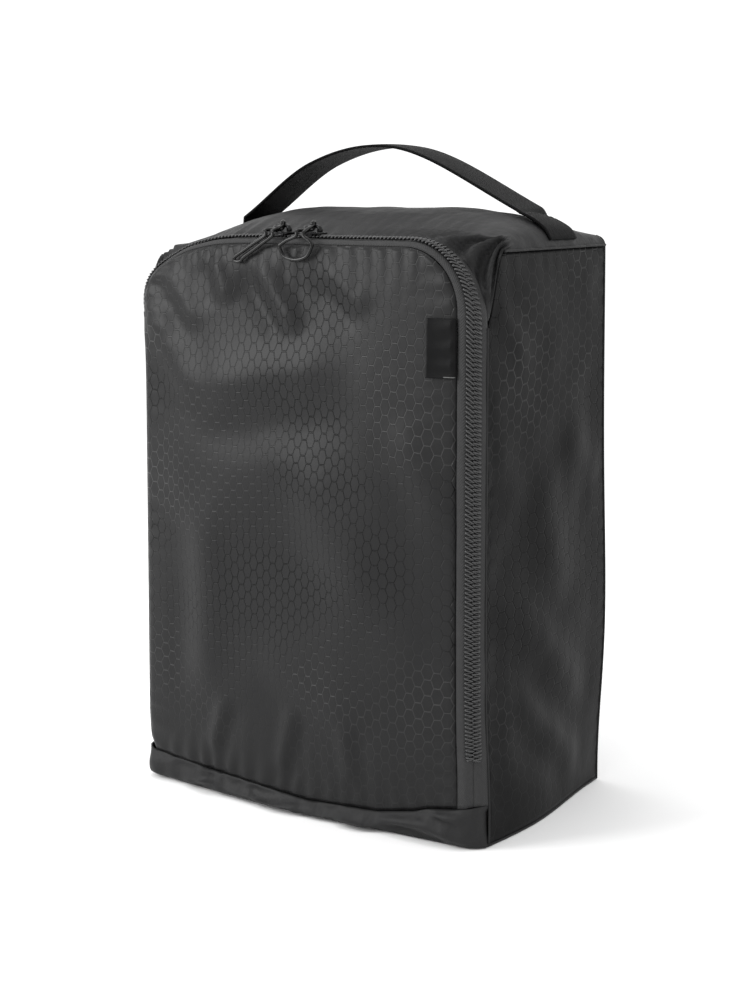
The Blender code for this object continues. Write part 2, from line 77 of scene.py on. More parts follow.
bag = {
    "half": backHigh.x,  # half of the width
    "tall": backHigh.z,
    "front": bottomLow.y,
    "back": sideHigh.y,
    "sideFoot": sideLow.z,
    "flapFoot": flapLow.z,
    "flapHalf": flapHigh.x,
    "flapCorner": 0.036,
    "boxCorner": 0.006,
    "gussetRun": 0.017,
    "crown": 0.018,
    "fabric": 0.0012,
}

zipper = {
    "chain": 0.010,
    "tape": 0.005,  # tape that shows beside the chain
    "tapeThick": 0.0007,
    "coilFoot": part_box("flap_zip_coil")[0].z,
    "pitch": 0.0027,
    "wire": 0.00062,
    "low": 0.0004,  # underside of the coil above its foot
    "rise": 0.0026,  # and its top
    "crossing": 0.6,  # share of a turn that crosses over the tape
    "slant": 0.40,  # share of the pitch gained on the way over
    "flutter": 0.0003,
}
zipper["strip"] = zipper["chain"] + 2 * zipper["tape"]
legRadius = zipper["strip"] * 2 / math.pi
topRadius = zipper["tape"] * 2 / math.pi
topSeamY = bag["front"] + topRadius + zipper["chain"] + zipper["tape"]
chainY = bag["front"] + topRadius + zipper["chain"] / 2


def mix(a, b, t):
    return a + (b - a) * t


def smoothStep(t):
    t = np.clip(t, 0, 1)
    return t * t * (3 - 2 * t)


# Where the empty bag gives way: centre, reach along each axis, and how far it moves there
slumps = [
    ((-0.130, -0.080, 0.335), (0.034, 0.060, 0.034), (-0.005, 0.001, 0.000)),
    ((-0.100, -0.078, 0.366), (0.029, 0.070, 0.030), (0.000, 0.001, -0.0072)),
    ((-0.134, 0.005, 0.365), (0.052, 0.070, 0.040), (0.000, 0.000, -0.0120)),
    ((0.128, 0.078, 0.020), (0.050, 0.040, 0.060), (-0.002, -0.002, 0.000)),
    ((0.132, -0.020, 0.005), (0.060, 0.055, 0.060), (0.0070, 0.001, 0.000)),
    ((-0.128, -0.080, 0.000), (0.040, 0.040, 0.026), (0.003, 0.003, 0.000)),
    ((0.000, -0.085, 0.000), (0.085, 0.030, 0.030), (0.000, -0.006, 0.000)),
    ((0.128, 0.070, 0.110), (0.060, 0.060, 0.090), (0.002, 0.002, 0.000)),
]
flare = {"side": 0.0030, "depth": 0.0025}  # the base spreads a little
# The seam under the flap: its height from the left edge to the right one
sillSeam = {
    "rise": 0.012,  # the cloth under it is stretched from here up
    "fade": 0.07,
    "front": -0.072,  # only the front of the bag follows it
    "turn": 0.02,
    "x": [-0.128, -0.122, -0.095, -0.040, 0.011, 0.062, 0.087, 0.097, 0.128],
    "z": [0.0205, 0.0205, 0.0180, 0.0145, 0.0110, 0.0135, 0.0185, 0.0220, 0.0270],
}


def slump(points):
    moved = points.copy()
    for centre, reach, push in slumps:
        away = (points - np.array(centre)) / np.array(reach)
        moved = moved + np.exp(-(away**2).sum(-1))[..., None] * np.array(push)
    x, y, z = points[..., 0], points[..., 1], points[..., 2]
    low = 1 - np.clip(z / bag["tall"], 0, 1)
    moved[..., 0] += flare["side"] * low * x / bag["half"]
    moved[..., 1] += flare["depth"] * low * y / bag["back"]
    shift = np.interp(x, sillSeam["x"], sillSeam["z"]) - bag["flapFoot"]
    near = smoothStep(z / sillSeam["rise"]) * (1 - smoothStep((z - bag["flapFoot"]) / sillSeam["fade"]))
    moved[..., 2] += shift * near * (1 - smoothStep((y - sillSeam["front"]) / sillSeam["turn"]))
    return moved


# Smooth noise from -1 to 1 over a grid of points
def roll(points, size, seed, stretch=(1, 1, 1)):
    seedStep = 7.31
    flat = (points * (np.array(stretch) / size)).reshape(-1, 3) + seed * seedStep
    found = [noise.noise(Vector(p)) for p in flat]
    return np.array(found).reshape(points.shape[:-1])


def gridNormals(points, outward):
    across = np.gradient(points, axis=1)
    along = np.gradient(points, axis=0)
    normal = np.cross(across, along)
    normal /= np.maximum(np.linalg.norm(normal, axis=-1, keepdims=True), 1e-9)
    middle = normal[normal.shape[0] // 2, normal.shape[1] // 2]
    return normal if middle @ np.array(outward) > 0 else -normal


# A crease between two points: a ridge with a trough on the side that it leans away from
def fold(points, start, end, width, height, lean=0.0):
    start, end = np.array(start), np.array(end)
    run = end - start
    length = np.linalg.norm(run)
    run = run / length
    rel = points - start
    along = rel @ run
    side = rel - along[..., None] * run
    across = side[..., 0] * run[2] - side[..., 2] * run[0] + side[..., 1]
    fade = 0.3 * length
    ends = smoothStep(along / fade) * smoothStep((length - along) / fade)
    ridge = np.exp(-((across / width) ** 2))
    trough = np.exp(-(((across - 1.6 * width) / width) ** 2))
    return height * ends * (ridge - lean * trough)


def topShare(u):
    return np.minimum(smoothStep(u - 1), smoothStep(4 - u))


# The bag's front outline: u is 0 at the left foot, 1 to 2 round the left corner,
# 3 to 4 round the right one, and 5 at the right foot
def outline(u, half, top, radius, foot):
    side = np.where(u < 2.5, -1.0, 1.0)
    v = np.where(u < 2.5, u, 5 - u)
    angle = (np.clip(v, 1, 2) - 1) * math.pi / 2
    x = side * (half - radius) + side * radius * np.cos(angle)
    z = top - radius + radius * np.sin(angle)
    acrossTop = side * (half - radius) * (2.5 - v) * 2
    x = np.where(v <= 1, side * half, np.where(v >= 2, acrossTop, x))
    z = np.where(v <= 1, mix(foot, top - radius, v), z)
    out = np.stack([side * np.cos(angle), np.zeros_like(angle), np.sin(angle)], -1)
    return x, z, out


def legCurve(s):
    def arc(a):
        angle = a / zipper["strip"] * math.pi / 2
        return legRadius * (1 - np.sin(angle)), bag["front"] + legRadius * (1 - np.cos(angle))

    low, high = zipper["tape"], zipper["tape"] + zipper["chain"]
    inset, y = arc(s)
    (insetLow, yLow), (insetHigh, yHigh) = arc(low), arc(high)
    share = (s - low) / zipper["chain"]
    onChain = (s > low) & (s < high)  # the chain itself is flat
    inset = np.where(onChain, mix(insetLow, insetHigh, share), inset)
    return inset, np.where(onChain, mix(yLow, yHigh, share), y)


def topCurve(s):
    angle = np.clip(s / zipper["tape"], 0, 1) * math.pi / 2
    drop = topRadius * (1 - np.sin(angle))
    y = bag["front"] + topRadius * (1 - np.cos(angle)) + np.maximum(s - zipper["tape"], 0)
    return drop, y


# The left leg's chain is pulled in behind the flap's edge
leftLeg = {"pulledIn": 0.0046, "until": 0.9, "edge": 0.0004, "far": 0.0196, "ease": 0.003}


# A point of the zip strip, s across it from the flap's edge
def stripPoint(u, s, lift, foot):
    u, s, lift = np.broadcast_arrays(np.asarray(u, float), s, lift)
    share = topShare(u)
    inset, legY = legCurve(s)
    drop, topY = topCurve(s)
    radius = bag["flapCorner"] + legRadius - inset
    x, z, out = outline(u, bag["half"] - inset, bag["tall"] - drop, radius, foot)
    step = 0.0002
    ahead = np.minimum(s + step, zipper["strip"])
    (insetA, yA), (insetB, yB) = legCurve(ahead - step), legCurve(ahead)
    (dropA, topA), (dropB, topB) = topCurve(ahead - step), topCurve(ahead)
    rise = mix(insetA - insetB, dropA - dropB, share)
    run = mix(yB - yA, topB - topA, share)
    face = out * run[..., None]
    face[..., 1] -= rise
    face /= np.linalg.norm(face, axis=-1, keepdims=True)
    ease = leftLeg["ease"]
    pulledIn = leftLeg["pulledIn"] * (1 - smoothStep(u - leftLeg["until"]))
    pulledIn = pulledIn * smoothStep((s - leftLeg["edge"]) / ease) * smoothStep((leftLeg["far"] - s) / ease)
    return np.stack([x, mix(legY, topY, share), z], -1) + face * (lift - pulledIn)[..., None]


def crownRise(x, y):
    along = np.clip((y - topSeamY) / (bag["back"] - topSeamY), 0, 1)
    across = 1 - np.minimum(np.abs(x) / bag["half"], 1) ** 8
    return bag["crown"] * across * np.sin(math.pi * along) ** 0.8


# A point of the body behind the zip, q from 0 at the zip's outer edge to 1 at the back
def bodyPoint(u, q):
    u, q = np.broadcast_arrays(np.asarray(u, float), q)
    front = mix(bag["front"] + legRadius, topSeamY, topShare(u))
    y = mix(front, bag["back"], q)
    turn = smoothStep(q * (bag["back"] - front) / bag["gussetRun"])
    radius = mix(bag["flapCorner"] + legRadius, bag["boxCorner"], turn)
    x, z, _ = outline(u, bag["half"], bag["tall"], radius, bag["sideFoot"])
    return np.stack([x, y, z + crownRise(x, y) * ((u > 1) & (u < 4))], -1)


def topHeight(x, y):
    over = np.maximum(np.abs(x) - (bag["half"] - bag["boxCorner"]), 0)
    corner = np.sqrt(np.maximum(bag["boxCorner"] ** 2 - over**2, 0)) - bag["boxCorner"]
    return bag["tall"] + corner + crownRise(x, y)


def showSmooth(mesh):
    mesh.polygons.foreach_set("use_smooth", [True] * len(mesh.polygons))


def addPiece(name, mesh, finish):
    piece = bpy.data.objects.new(name, mesh)
    bpy.context.scene.collection.objects.link(piece)
    mesh.materials.append(finish)
    return piece


def gridFaces(rows, columns, ringed=False):
    faces = []
    for i in range(rows - 1):
        for j in range(columns if ringed else columns - 1):
            k = (j + 1) % columns
            faces.append((i * columns + j, i * columns + k, (i + 1) * columns + k, (i + 1) * columns + j))
    return faces


def setWeave(mesh, weave):
    held = mesh.attributes.new("weave", "FLOAT_VECTOR", "POINT")
    flat = np.zeros((len(mesh.vertices), 3), np.float32)
    flat[:, :2] = np.asarray(weave, np.float32).reshape(-1, 2)
    held.data.foreach_set("vector", flat.ravel())


# A sheet of cloth from a grid of points, its thickness laid on the inside
def clothPiece(name, points, weave, finish, thickness, outward):
    rows, columns = points.shape[:2]
    mesh = bpy.data.meshes.new(name)
    faces = gridFaces(rows, columns)
    i, j = rows // 2, columns // 2
    normal = np.cross(points[i, j + 1] - points[i, j], points[i + 1, j] - points[i, j])
    if normal @ np.array(outward) < 0:
        faces = [face[::-1] for face in faces]
    mesh.from_pydata(points.reshape(-1, 3).tolist(), [], faces)
    setWeave(mesh, weave)
    showSmooth(mesh)
    piece = addPiece(name, mesh, finish)
    body = piece.modifiers.new("Thickness", "SOLIDIFY")
    body.thickness = thickness
    body.offset = -1
    return piece


# A round cord or wire along a path of points
def tubePiece(name, path, radius, finish, sides=6, closed=False):
    path = np.asarray(path, float)
    if closed:
        tangent = np.roll(path, -1, 0) - np.roll(path, 1, 0)
    else:
        tangent = np.gradient(path, axis=0)
    tangent /= np.maximum(np.linalg.norm(tangent, axis=1, keepdims=True), 1e-12)
    helper = np.cross(tangent[0], (0.31, 0.22, 0.92))
    side = helper / np.linalg.norm(helper)
    carried = [side]  # carried along the path without twisting
    for t in tangent[1:]:
        side = carried[-1] - t * (carried[-1] @ t)
        carried.append(side / max(np.linalg.norm(side), 1e-9))
    sideA = np.array(carried)
    sideB = np.cross(tangent, sideA)
    angle = np.arange(sides) * 2 * math.pi / sides
    ring = sideA[:, None] * np.cos(angle)[None, :, None]
    ring = ring + sideB[:, None] * np.sin(angle)[None, :, None]
    radius = np.broadcast_to(radius, len(path))
    points = path[:, None] + ring * radius[:, None, None]
    count = len(path)
    faces = gridFaces(count, sides, ringed=True)
    if closed:
        last = (count - 1) * sides
        turned = math.atan2(sideB[-1] @ sideA[0], sideA[-1] @ sideA[0]) / (2 * math.pi)
        twist = int(round(turned * sides)) % sides
        for j in range(sides):
            k = (j + 1) % sides
            faces.append((last + (j + twist) % sides, last + (k + twist) % sides, k, j))
    else:
        faces.append(tuple(range(sides))[::-1])
        faces.append(tuple(range((count - 1) * sides, count * sides)))
    mesh = bpy.data.meshes.new(name)
    mesh.from_pydata(points.reshape(-1, 3).tolist(), [], faces)
    shape = bmesh.new()
    shape.from_mesh(mesh)
    bmesh.ops.recalc_face_normals(shape, faces=shape.faces)
    shape.to_mesh(mesh)
    shape.free()
    showSmooth(mesh)
    return addPiece(name, mesh, finish)


# A plate cut to an outline and raised from low to high, its edges eased
def platePiece(name, corners, low, high, finish, bevel=0.0003):
    shape = bmesh.new()
    rings = [[shape.verts.new((x, y, level)) for x, y in corners] for level in (low, high)]
    shape.faces.new(rings[0][::-1])
    shape.faces.new(rings[1])
    for i in range(len(corners)):
        j = (i + 1) % len(corners)
        shape.faces.new((rings[0][i], rings[0][j], rings[1][j], rings[1][i]))
    bmesh.ops.recalc_face_normals(shape, faces=shape.faces)
    mesh = bpy.data.meshes.new(name)
    shape.to_mesh(mesh)
    shape.free()
    piece = addPiece(name, mesh, finish)
    ease = piece.modifiers.new("Eased edges", "BEVEL")
    ease.width = bevel
    ease.segments = 3
    ease.limit_method = "ANGLE"
    showSmooth(mesh)
    return piece


# One piece from several, with each one's modifiers applied
def joinPieces(name, pieces):
    graph = bpy.context.evaluated_depsgraph_get()
    graph.update()
    whole = bmesh.new()
    for piece in pieces:
        made = bpy.data.meshes.new_from_object(piece.evaluated_get(graph))
        made.transform(piece.matrix_world)
        whole.from_mesh(made)
    mesh = bpy.data.meshes.new(name)
    whole.to_mesh(mesh)
    whole.free()
    finish = pieces[0].data.materials[0]
    for piece in pieces:
        bpy.data.objects.remove(piece, do_unlink=True)
    return addPiece(name, mesh, finish)


def fit(piece, body, slotName, *nodes):
    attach(piece, body)
    if nodes:
        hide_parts(*nodes)


# The flap's pieces stay where they are built, and the parts they stand in for are hidden
def fitFlap(piece, slotName, *nodes):
    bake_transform(piece)
    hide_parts(*nodes)


def newFinish(name, color, roughness):
    finish = bpy.data.materials.new(name)
    finish.use_nodes = True
    shader = finish.node_tree.nodes["Principled BSDF"]
    shader.inputs["Base Color"].default_value = (*color, 1)
    shader.inputs["Roughness"].default_value = roughness
    return finish, finish.node_tree, shader


def addNode(tree, kind, inputs=None, **settings):
    node = tree.nodes.new("ShaderNode" + kind)
    for key, value in settings.items():
        setattr(node, key, value)
    for socket, value in (inputs or {}).items():
        if isinstance(value, bpy.types.NodeSocket):
            tree.links.new(value, node.inputs[socket])
        else:
            node.inputs[socket].default_value = value
    return node


def doMath(tree, operation, a, b=None):
    inputs = {i: value for i, value in enumerate((a, b)) if value is not None}
    return addNode(tree, "Math", inputs, operation=operation).outputs[0]


def doVector(tree, operation, a, b=None, c=None, out=0):
    inputs = {i: value for i, value in enumerate((a, b, c)) if value is not None}
    return addNode(tree, "VectorMath", inputs, operation=operation).outputs[out]


def range01(tree, value, low, high, toLow=0.0, toHigh=1.0):
    inputs = {"Value": value, "From Min": low, "From Max": high, "To Min": toLow, "To Max": toHigh}
    return addNode(tree, "MapRange", inputs, interpolation_type="SMOOTHSTEP").outputs[0]


def weavePlace(tree):
    return addNode(tree, "Attribute", attribute_name="weave").outputs["Vector"]


def noiseValue(tree, scale, detail):
    place = addNode(tree, "TexCoord").outputs["Object"]
    return addNode(tree, "TexNoise", {"Vector": place, "Scale": scale, "Detail": detail}).outputs["Fac"]


# Bumps laid on each other: (height, distance in metres, strength)
def addBump(tree, shader, layers):
    normal = None
    for height, distance, strength in layers:
        bump = addNode(tree, "Bump", {"Height": height, "Distance": distance, "Strength": strength})
        if normal is not None:
            tree.links.new(normal, bump.inputs["Normal"])
        normal = bump.outputs["Normal"]
    tree.links.new(normal, shader.inputs["Normal"])


def colorBetween(tree, shader, factor, dark, light):
    mixer = addNode(tree, "Mix", {"Factor": factor}, data_type="RGBA")
    mixer.inputs[6].default_value = (*dark, 1)
    mixer.inputs[7].default_value = (*light, 1)
    tree.links.new(mixer.outputs[2], shader.inputs["Base Color"])


def roughBetween(tree, shader, factor, smooth, dull):
    rough = range01(tree, factor, 0.3, 0.7, smooth, dull)
    tree.links.new(rough, shader.inputs["Roughness"])


honeycomb = {
    "column": 0.0082,  # between columns of cells
    "row": 0.0096,
    "groove": 0.11,  # width of a groove, as a share of a cell
    "depth": 0.0005,
    "patches": 14.0,  # the embossing is stronger in some patches
    "weakest": 0.25,
    "flatBelow": 0.03,  # it is pressed flatter towards the foot of the bag
    "fullAbove": 0.15,
    "flattest": 0.12,
}


# 1 in the grooves between flat-topped cells and 0 on their faces
def honeycombGroove(tree):
    size = (1.5 / honeycomb["column"], math.sqrt(3) / honeycomb["row"], 0)
    place = doVector(tree, "MULTIPLY", weavePlace(tree), size)
    edge = math.sqrt(3) / 2
    high = (1.5, edge, 0.5)
    low = tuple(-value for value in high)
    nearA = doVector(tree, "WRAP", place, high, low)
    nearB = doVector(tree, "WRAP", doVector(tree, "ADD", place, (1.5, edge, 0)), high, low)
    lengthA = doVector(tree, "LENGTH", nearA, out=1)
    lengthB = doVector(tree, "LENGTH", nearB, out=1)
    choose = doMath(tree, "LESS_THAN", lengthA, lengthB)
    near = addNode(tree, "Mix", {"Factor": choose, 4: nearB, 5: nearA}, data_type="VECTOR").outputs[1]
    near = doVector(tree, "ABSOLUTE", near)
    slanted = doVector(tree, "DOT_PRODUCT", near, (edge, 0.5, 0), out=1)
    level = addNode(tree, "SeparateXYZ", {0: near}).outputs[1]
    reach = doMath(tree, "MAXIMUM", slanted, level)
    return range01(tree, reach, edge - honeycomb["groove"], edge - 0.02)


# A plain weave: threads over and under, across and along in metres
def weaveRibs(tree, across, along):
    parts = addNode(tree, "SeparateXYZ", {0: weavePlace(tree)})
    a = doMath(tree, "SINE", doMath(tree, "MULTIPLY", parts.outputs[0], 2 * math.pi / across))
    b = doMath(tree, "SINE", doMath(tree, "MULTIPLY", parts.outputs[1], 2 * math.pi / along))
    return doMath(tree, "MULTIPLY", a, b)


def makeHoneycombNylon(name, gloss, tone, paintedGrooveHighlight):
    finish, tree, shader = newFinish(name, (0.014, 0.014, 0.0145), 0.5)
    shader.inputs["Specular IOR Level"].default_value = gloss
    groove = honeycombGroove(tree)
    patchy = noiseValue(tree, honeycomb["patches"], 1.0)
    strength = range01(tree, patchy, 0.36, 0.62, honeycomb["weakest"], 1.0)
    height = addNode(tree, "SeparateXYZ", {0: weavePlace(tree)}).outputs[1]
    low, high = honeycomb["flatBelow"], honeycomb["fullAbove"]
    pressed = range01(tree, height, low, high, honeycomb["flattest"], 1.0)
    relief = doMath(tree, "MULTIPLY", groove, doMath(tree, "MULTIPLY", strength, pressed))
    grain = noiseValue(tree, 1400.0, 1.0)
    # Groove colour, patch by patch: painted shade where it is dark and painted highlight where it is
    # brighter than the cloth
    litGrooveZone = range01(tree, noiseValue(tree, 9.0, 1.0), 0.40, 0.60)
    dull = range01(tree, litGrooveZone, 0.0, 1.0, 0.0012, paintedGrooveHighlight)
    line = addNode(tree, "CombineColor", {0: dull, 1: dull, 2: dull}).outputs[0]
    cloth = (tone, tone, tone * 1.03)
    color = addNode(tree, "Mix", {"Factor": relief, 6: (*cloth, 1), 7: line}, data_type="RGBA").outputs[2]
    tree.links.new(color, shader.inputs["Base Color"])
    rough = range01(tree, relief, 0.0, 1.0, 0.44, 0.32)
    tree.links.new(rough, shader.inputs["Roughness"])
    sunk = doMath(tree, "SUBTRACT", 1.0, relief)
    crumple = noiseValue(tree, 60.0, 3.0)
    layers = [(crumple, 0.0012, 0.35), (sunk, honeycomb["depth"], 0.9), (grain, 0.00004, 0.5)]
    addBump(tree, shader, layers)
    return finish


def makePlainNylon():
    finish, tree, shader = newFinish("plainNylon", (0.015, 0.015, 0.0155), 0.55)
    shader.inputs["Specular IOR Level"].default_value = 0.17
    ribs = weaveRibs(tree, 0.0016, 0.0016)
    cloudy = noiseValue(tree, 30.0, 2.0)
    colorBetween(tree, shader, cloudy, (0.010, 0.010, 0.0103), (0.021, 0.021, 0.0214))
    roughBetween(tree, shader, cloudy, 0.48, 0.62)
    crumple = noiseValue(tree, 85.0, 3.0)
    addBump(tree, shader, [(crumple, 0.0030, 0.6), (ribs, 0.00006, 0.6)])
    return finish


def makeLiningCloth():
    finish, tree, shader = newFinish("liningTaffeta", (0.04, 0.04, 0.042), 0.6)
    shader.inputs["Sheen Weight"].default_value = 0.15
    ribs = weaveRibs(tree, 0.002, 0.002)
    cloudy = noiseValue(tree, 24.0, 2.0)
    colorBetween(tree, shader, cloudy, (0.034, 0.034, 0.036), (0.048, 0.048, 0.05))
    crumple = noiseValue(tree, 50.0, 3.0)
    addBump(tree, shader, [(crumple, 0.002, 0.5), (ribs, 0.00008, 0.6)])
    return finish


def makeZipTape():
    finish, tree, shader = newFinish("zipTapeTwill", (0.06, 0.06, 0.061), 0.68)
    shader.inputs["Specular IOR Level"].default_value = 0.3
    ribs = weaveRibs(tree, 0.0014, 0.0018)
    fuzz = noiseValue(tree, 420.0, 2.0)
    colorBetween(tree, shader, fuzz, (0.017, 0.017, 0.0174), (0.030, 0.030, 0.0305))
    wave = noiseValue(tree, 90.0, 2.0)
    addBump(tree, shader, [(wave, 0.0008, 0.3), (ribs, 0.00018, 0.7)])
    return finish


def makeCoilNylon():
    finish, tree, shader = newFinish("coilNylon", (0.022, 0.022, 0.023), 0.3)
    shader.inputs["Specular IOR Level"].default_value = 0.6
    cloudy = noiseValue(tree, 220.0, 2.0)
    roughBetween(tree, shader, cloudy, 0.24, 0.4)
    colorBetween(tree, shader, cloudy, (0.016, 0.016, 0.0164), (0.034, 0.034, 0.0345))
    addBump(tree, shader, [(cloudy, 0.0001, 0.4)])
    return finish


def makeSliderMetal():
    finish, tree, shader = newFinish("sliderGunmetal", (0.008, 0.008, 0.0085), 0.22)
    shader.inputs["Metallic"].default_value = 0.8
    shader.inputs["Coat Weight"].default_value = 0.12
    shader.inputs["Coat Roughness"].default_value = 0.15
    wear = noiseValue(tree, 260.0, 3.0)
    colorBetween(tree, shader, wear, (0.004, 0.004, 0.0045), (0.014, 0.014, 0.0145))
    roughBetween(tree, shader, wear, 0.2, 0.38)
    addBump(tree, shader, [(wear, 0.0001, 0.3)])
    return finish


def makePullCord():
    finish, tree, shader = newFinish("pullCordGloss", (0.003, 0.003, 0.003), 0.14)
    shader.inputs["Specular IOR Level"].default_value = 0.2
    shader.inputs["Coat Weight"].default_value = 0.1
    shader.inputs["Coat Roughness"].default_value = 0.08
    grain = noiseValue(tree, 500.0, 2.0)
    roughBetween(tree, shader, grain, 0.1, 0.22)
    colorBetween(tree, shader, grain, (0.002, 0.002, 0.002), (0.005, 0.005, 0.005))
    addBump(tree, shader, [(grain, 0.00006, 0.4)])
    return finish


def makeWebbing():
    finish, tree, shader = newFinish("handleWebbing", (0.014, 0.014, 0.0145), 0.6)
    shader.inputs["Specular IOR Level"].default_value = 0.07
    ribs = weaveRibs(tree, 0.0022, 0.0012)
    fuzz = noiseValue(tree, 300.0, 2.0)
    colorBetween(tree, shader, fuzz, (0.0012, 0.0012, 0.0013), (0.0035, 0.0035, 0.0036))
    addBump(tree, shader, [(ribs, 0.00025, 0.7), (fuzz, 0.00006, 0.4)])
    return finish


def makeLabelCloth():
    finish, tree, shader = newFinish("labelSatin", (0.012, 0.012, 0.013), 0.42)
    shader.inputs["Specular IOR Level"].default_value = 0.1
    ribs = weaveRibs(tree, 0.0008, 0.0008)
    fuzz = noiseValue(tree, 160.0, 2.0)
    colorBetween(tree, shader, fuzz, (0.0015, 0.0015, 0.0017), (0.004, 0.004, 0.0042))
    addBump(tree, shader, [(fuzz, 0.0003, 0.3), (ribs, 0.00006, 0.5)])
    return finish


def makeThread(name, dark, light):
    finish, tree, shader = newFinish(name, light, 0.6)
    fuzz = noiseValue(tree, 900.0, 2.0)
    colorBetween(tree, shader, fuzz, dark, light)
    addBump(tree, shader, [(fuzz, 0.00008, 0.5)])
    return finish


# Each honeycomb cloth: gloss, cloth tone, and the brightest painted highlight in its grooves
honeycombNylon = makeHoneycombNylon("honeycombNylon", 0.18, 0.0088, 0.040)
# The sides' copy of the honeycomb cloth: painted shade, darker in tone and in groove colour, and less
# glossy
shadedSideNylon = makeHoneycombNylon("honeycombNylonSideShaded", 0.07, 0.0052, 0.034)
plainNylon = makePlainNylon()
liningCloth = makeLiningCloth()
zipTape = makeZipTape()
coilNylon = makeCoilNylon()
sliderMetal = makeSliderMetal()
pullCordGloss = makePullCord()
webbingCloth = makeWebbing()
labelCloth = makeLabelCloth()
darkThread = makeThread("darkThread", (0.012, 0.012, 0.012), (0.026, 0.026, 0.026))
# A pale thread colour, used for the painted highlight on the label's fold
paintedHighlightThread = makeThread("paintedHighlightThread", (0.05, 0.05, 0.05), (0.10, 0.10, 0.10))
bindingCloth = makeThread("bindingTwill", (0.02, 0.02, 0.02), (0.034, 0.034, 0.034))
print("finishes ready")


flapLook = {
    "columns": 110,
    "rows": 150,
    "straightRows": 0.78,  # share of the rows below the corners
    "bulge": 0.006,
    "proud": 0.0012,  # the turned edge stands over the tape
    "cloth": 0.0014,
    "overhang": 0.0050,  # on the left the edge lies over the zip
    "overFrom": 0.100,
    "overLow": 0.016,
    "overHigh": 0.295,
    "sway": 0.0038,
    "swaySize": 0.095,
    "ripple": 0.0008,
    "rippleSize": 0.03,
    "pucker": 0.0011,
    "puckerLength": 0.012,
    "puckerReach": 0.011,
    "footPucker": 1.7,  # stronger below this height
    "footHeight": 0.06,
}

# The flap's creases: start, end, width, height, lean
flapFolds = [
    ((-0.030, 0, 0.352), (0.008, 0, 0.300), 0.0085, 0.0036, 0.7),
    ((-0.060, 0, 0.353), (-0.048, 0, 0.318), 0.0070, 0.0026, 0.5),
    ((-0.100, 0, 0.348), (-0.070, 0, 0.300), 0.0080, 0.0024, 0.6),
    ((-0.118, 0, 0.330), (-0.070, 0, 0.250), 0.0140, 0.0030, 0.4),
    ((-0.090, 0, 0.262), (0.050, 0, 0.290), 0.0180, 0.0036, 0.7),
    ((-0.062, 0, 0.215), (-0.070, 0, 0.050), 0.0150, 0.0030, 0.8),
    ((0.000, 0, 0.240), (0.070, 0, 0.130), 0.0200, 0.0026, 0.6),
    ((0.075, 0, 0.260), (0.112, 0, 0.190), 0.0120, 0.0016, 0.6),
    ((-0.030, 0, 0.110), (0.060, 0, 0.060), 0.0180, 0.0024, 0.6),
    ((0.020, 0, 0.345), (0.060, 0, 0.318), 0.0080, 0.0018, 0.6),
    ((-0.010, 0, 0.026), (0.002, 0, 0.075), 0.0060, 0.0022, 0.5),
    ((-0.065, 0, 0.028), (-0.050, 0, 0.072), 0.0060, 0.0022, 0.5),
    ((0.045, 0, 0.028), (0.040, 0, 0.070), 0.0060, 0.0018, 0.5),
]


def flapHalfAt(z, edge=0.0):
    top = bag["tall"] - topRadius - edge
    radius = bag["flapCorner"] - edge
    over = np.clip(z - (top - radius), 0, radius)
    return bag["flapHalf"] - edge - radius + np.sqrt(np.maximum(radius**2 - over**2, 0))


# Heights that close up round the top corners
def flapRows(count, edge=0.0):
    foot = bag["flapFoot"] + edge
    top = bag["tall"] - topRadius - edge
    radius = bag["flapCorner"] - edge
    low = np.linspace(foot, top - radius, int(count * flapLook["straightRows"]))
    turn = np.linspace(0, math.pi / 2, count - len(low) + 1)[1:]
    high = top - radius + radius * np.sin(turn)
    return np.concatenate([low, high])


def flapGrid(edge=0.0):
    heights = flapRows(flapLook["rows"], edge)
    shares = np.linspace(-1, 1, flapLook["columns"] + 1)
    z = np.repeat(heights[:, None], len(shares), 1)
    return shares[None, :] * flapHalfAt(heights, edge)[:, None], z


def flapSurface(x, z):
    along = np.clip((z - bag["flapFoot"]) / (bag["tall"] - topRadius - bag["flapFoot"]), 0, 1)
    swell = np.maximum(1 - (x / bag["flapHalf"]) ** 4, 0) * np.sin(math.pi * along) ** 0.6
    return np.stack([x, bag["front"] - flapLook["bulge"] * swell, z], -1)


# How far the flap's cloth stands out from its smooth shape
def flapSlack(points):
    x, z = points[..., 0], points[..., 2]
    top = bag["tall"] - topRadius
    sideGap = np.maximum(flapHalfAt(z) - np.abs(x), 0)
    edgeGap = np.minimum(np.minimum(sideGap, top - z), z - bag["flapFoot"])
    free = smoothStep(edgeGap / 0.03)
    flat = points * np.array((1, 0, 1))
    slack = flapLook["sway"] * free * roll(flat, flapLook["swaySize"], 3, (1, 1, 0.75))
    slack += flapLook["ripple"] * free * roll(flat, flapLook["rippleSize"], 5, (1, 1, 0.6))
    for start, end, width, height, lean in flapFolds:
        slack += fold(flat, start, end, width, height, lean) * smoothStep(edgeGap / 0.006)
    wander = roll(flat, flapLook["rippleSize"], 8)
    walk = np.where(edgeGap == sideGap, z, x)
    gather = np.sin(2 * math.pi * walk / flapLook["puckerLength"] + 3.5 * wander)
    strength = 0.55 + 0.45 * roll(flat, 0.05, 11)
    strength = strength * np.where(z < flapLook["footHeight"], flapLook["footPucker"], 1.0)
    nearEdge = np.exp(-edgeGap / flapLook["puckerReach"]) * smoothStep(edgeGap / 0.003)
    slack += flapLook["pucker"] * strength * gather * nearEdge
    return slack, edgeGap


def turnedEdge(edgeGap):
    return flapLook["proud"] * np.sqrt(np.clip(edgeGap / 0.0025, 0.02, 1))


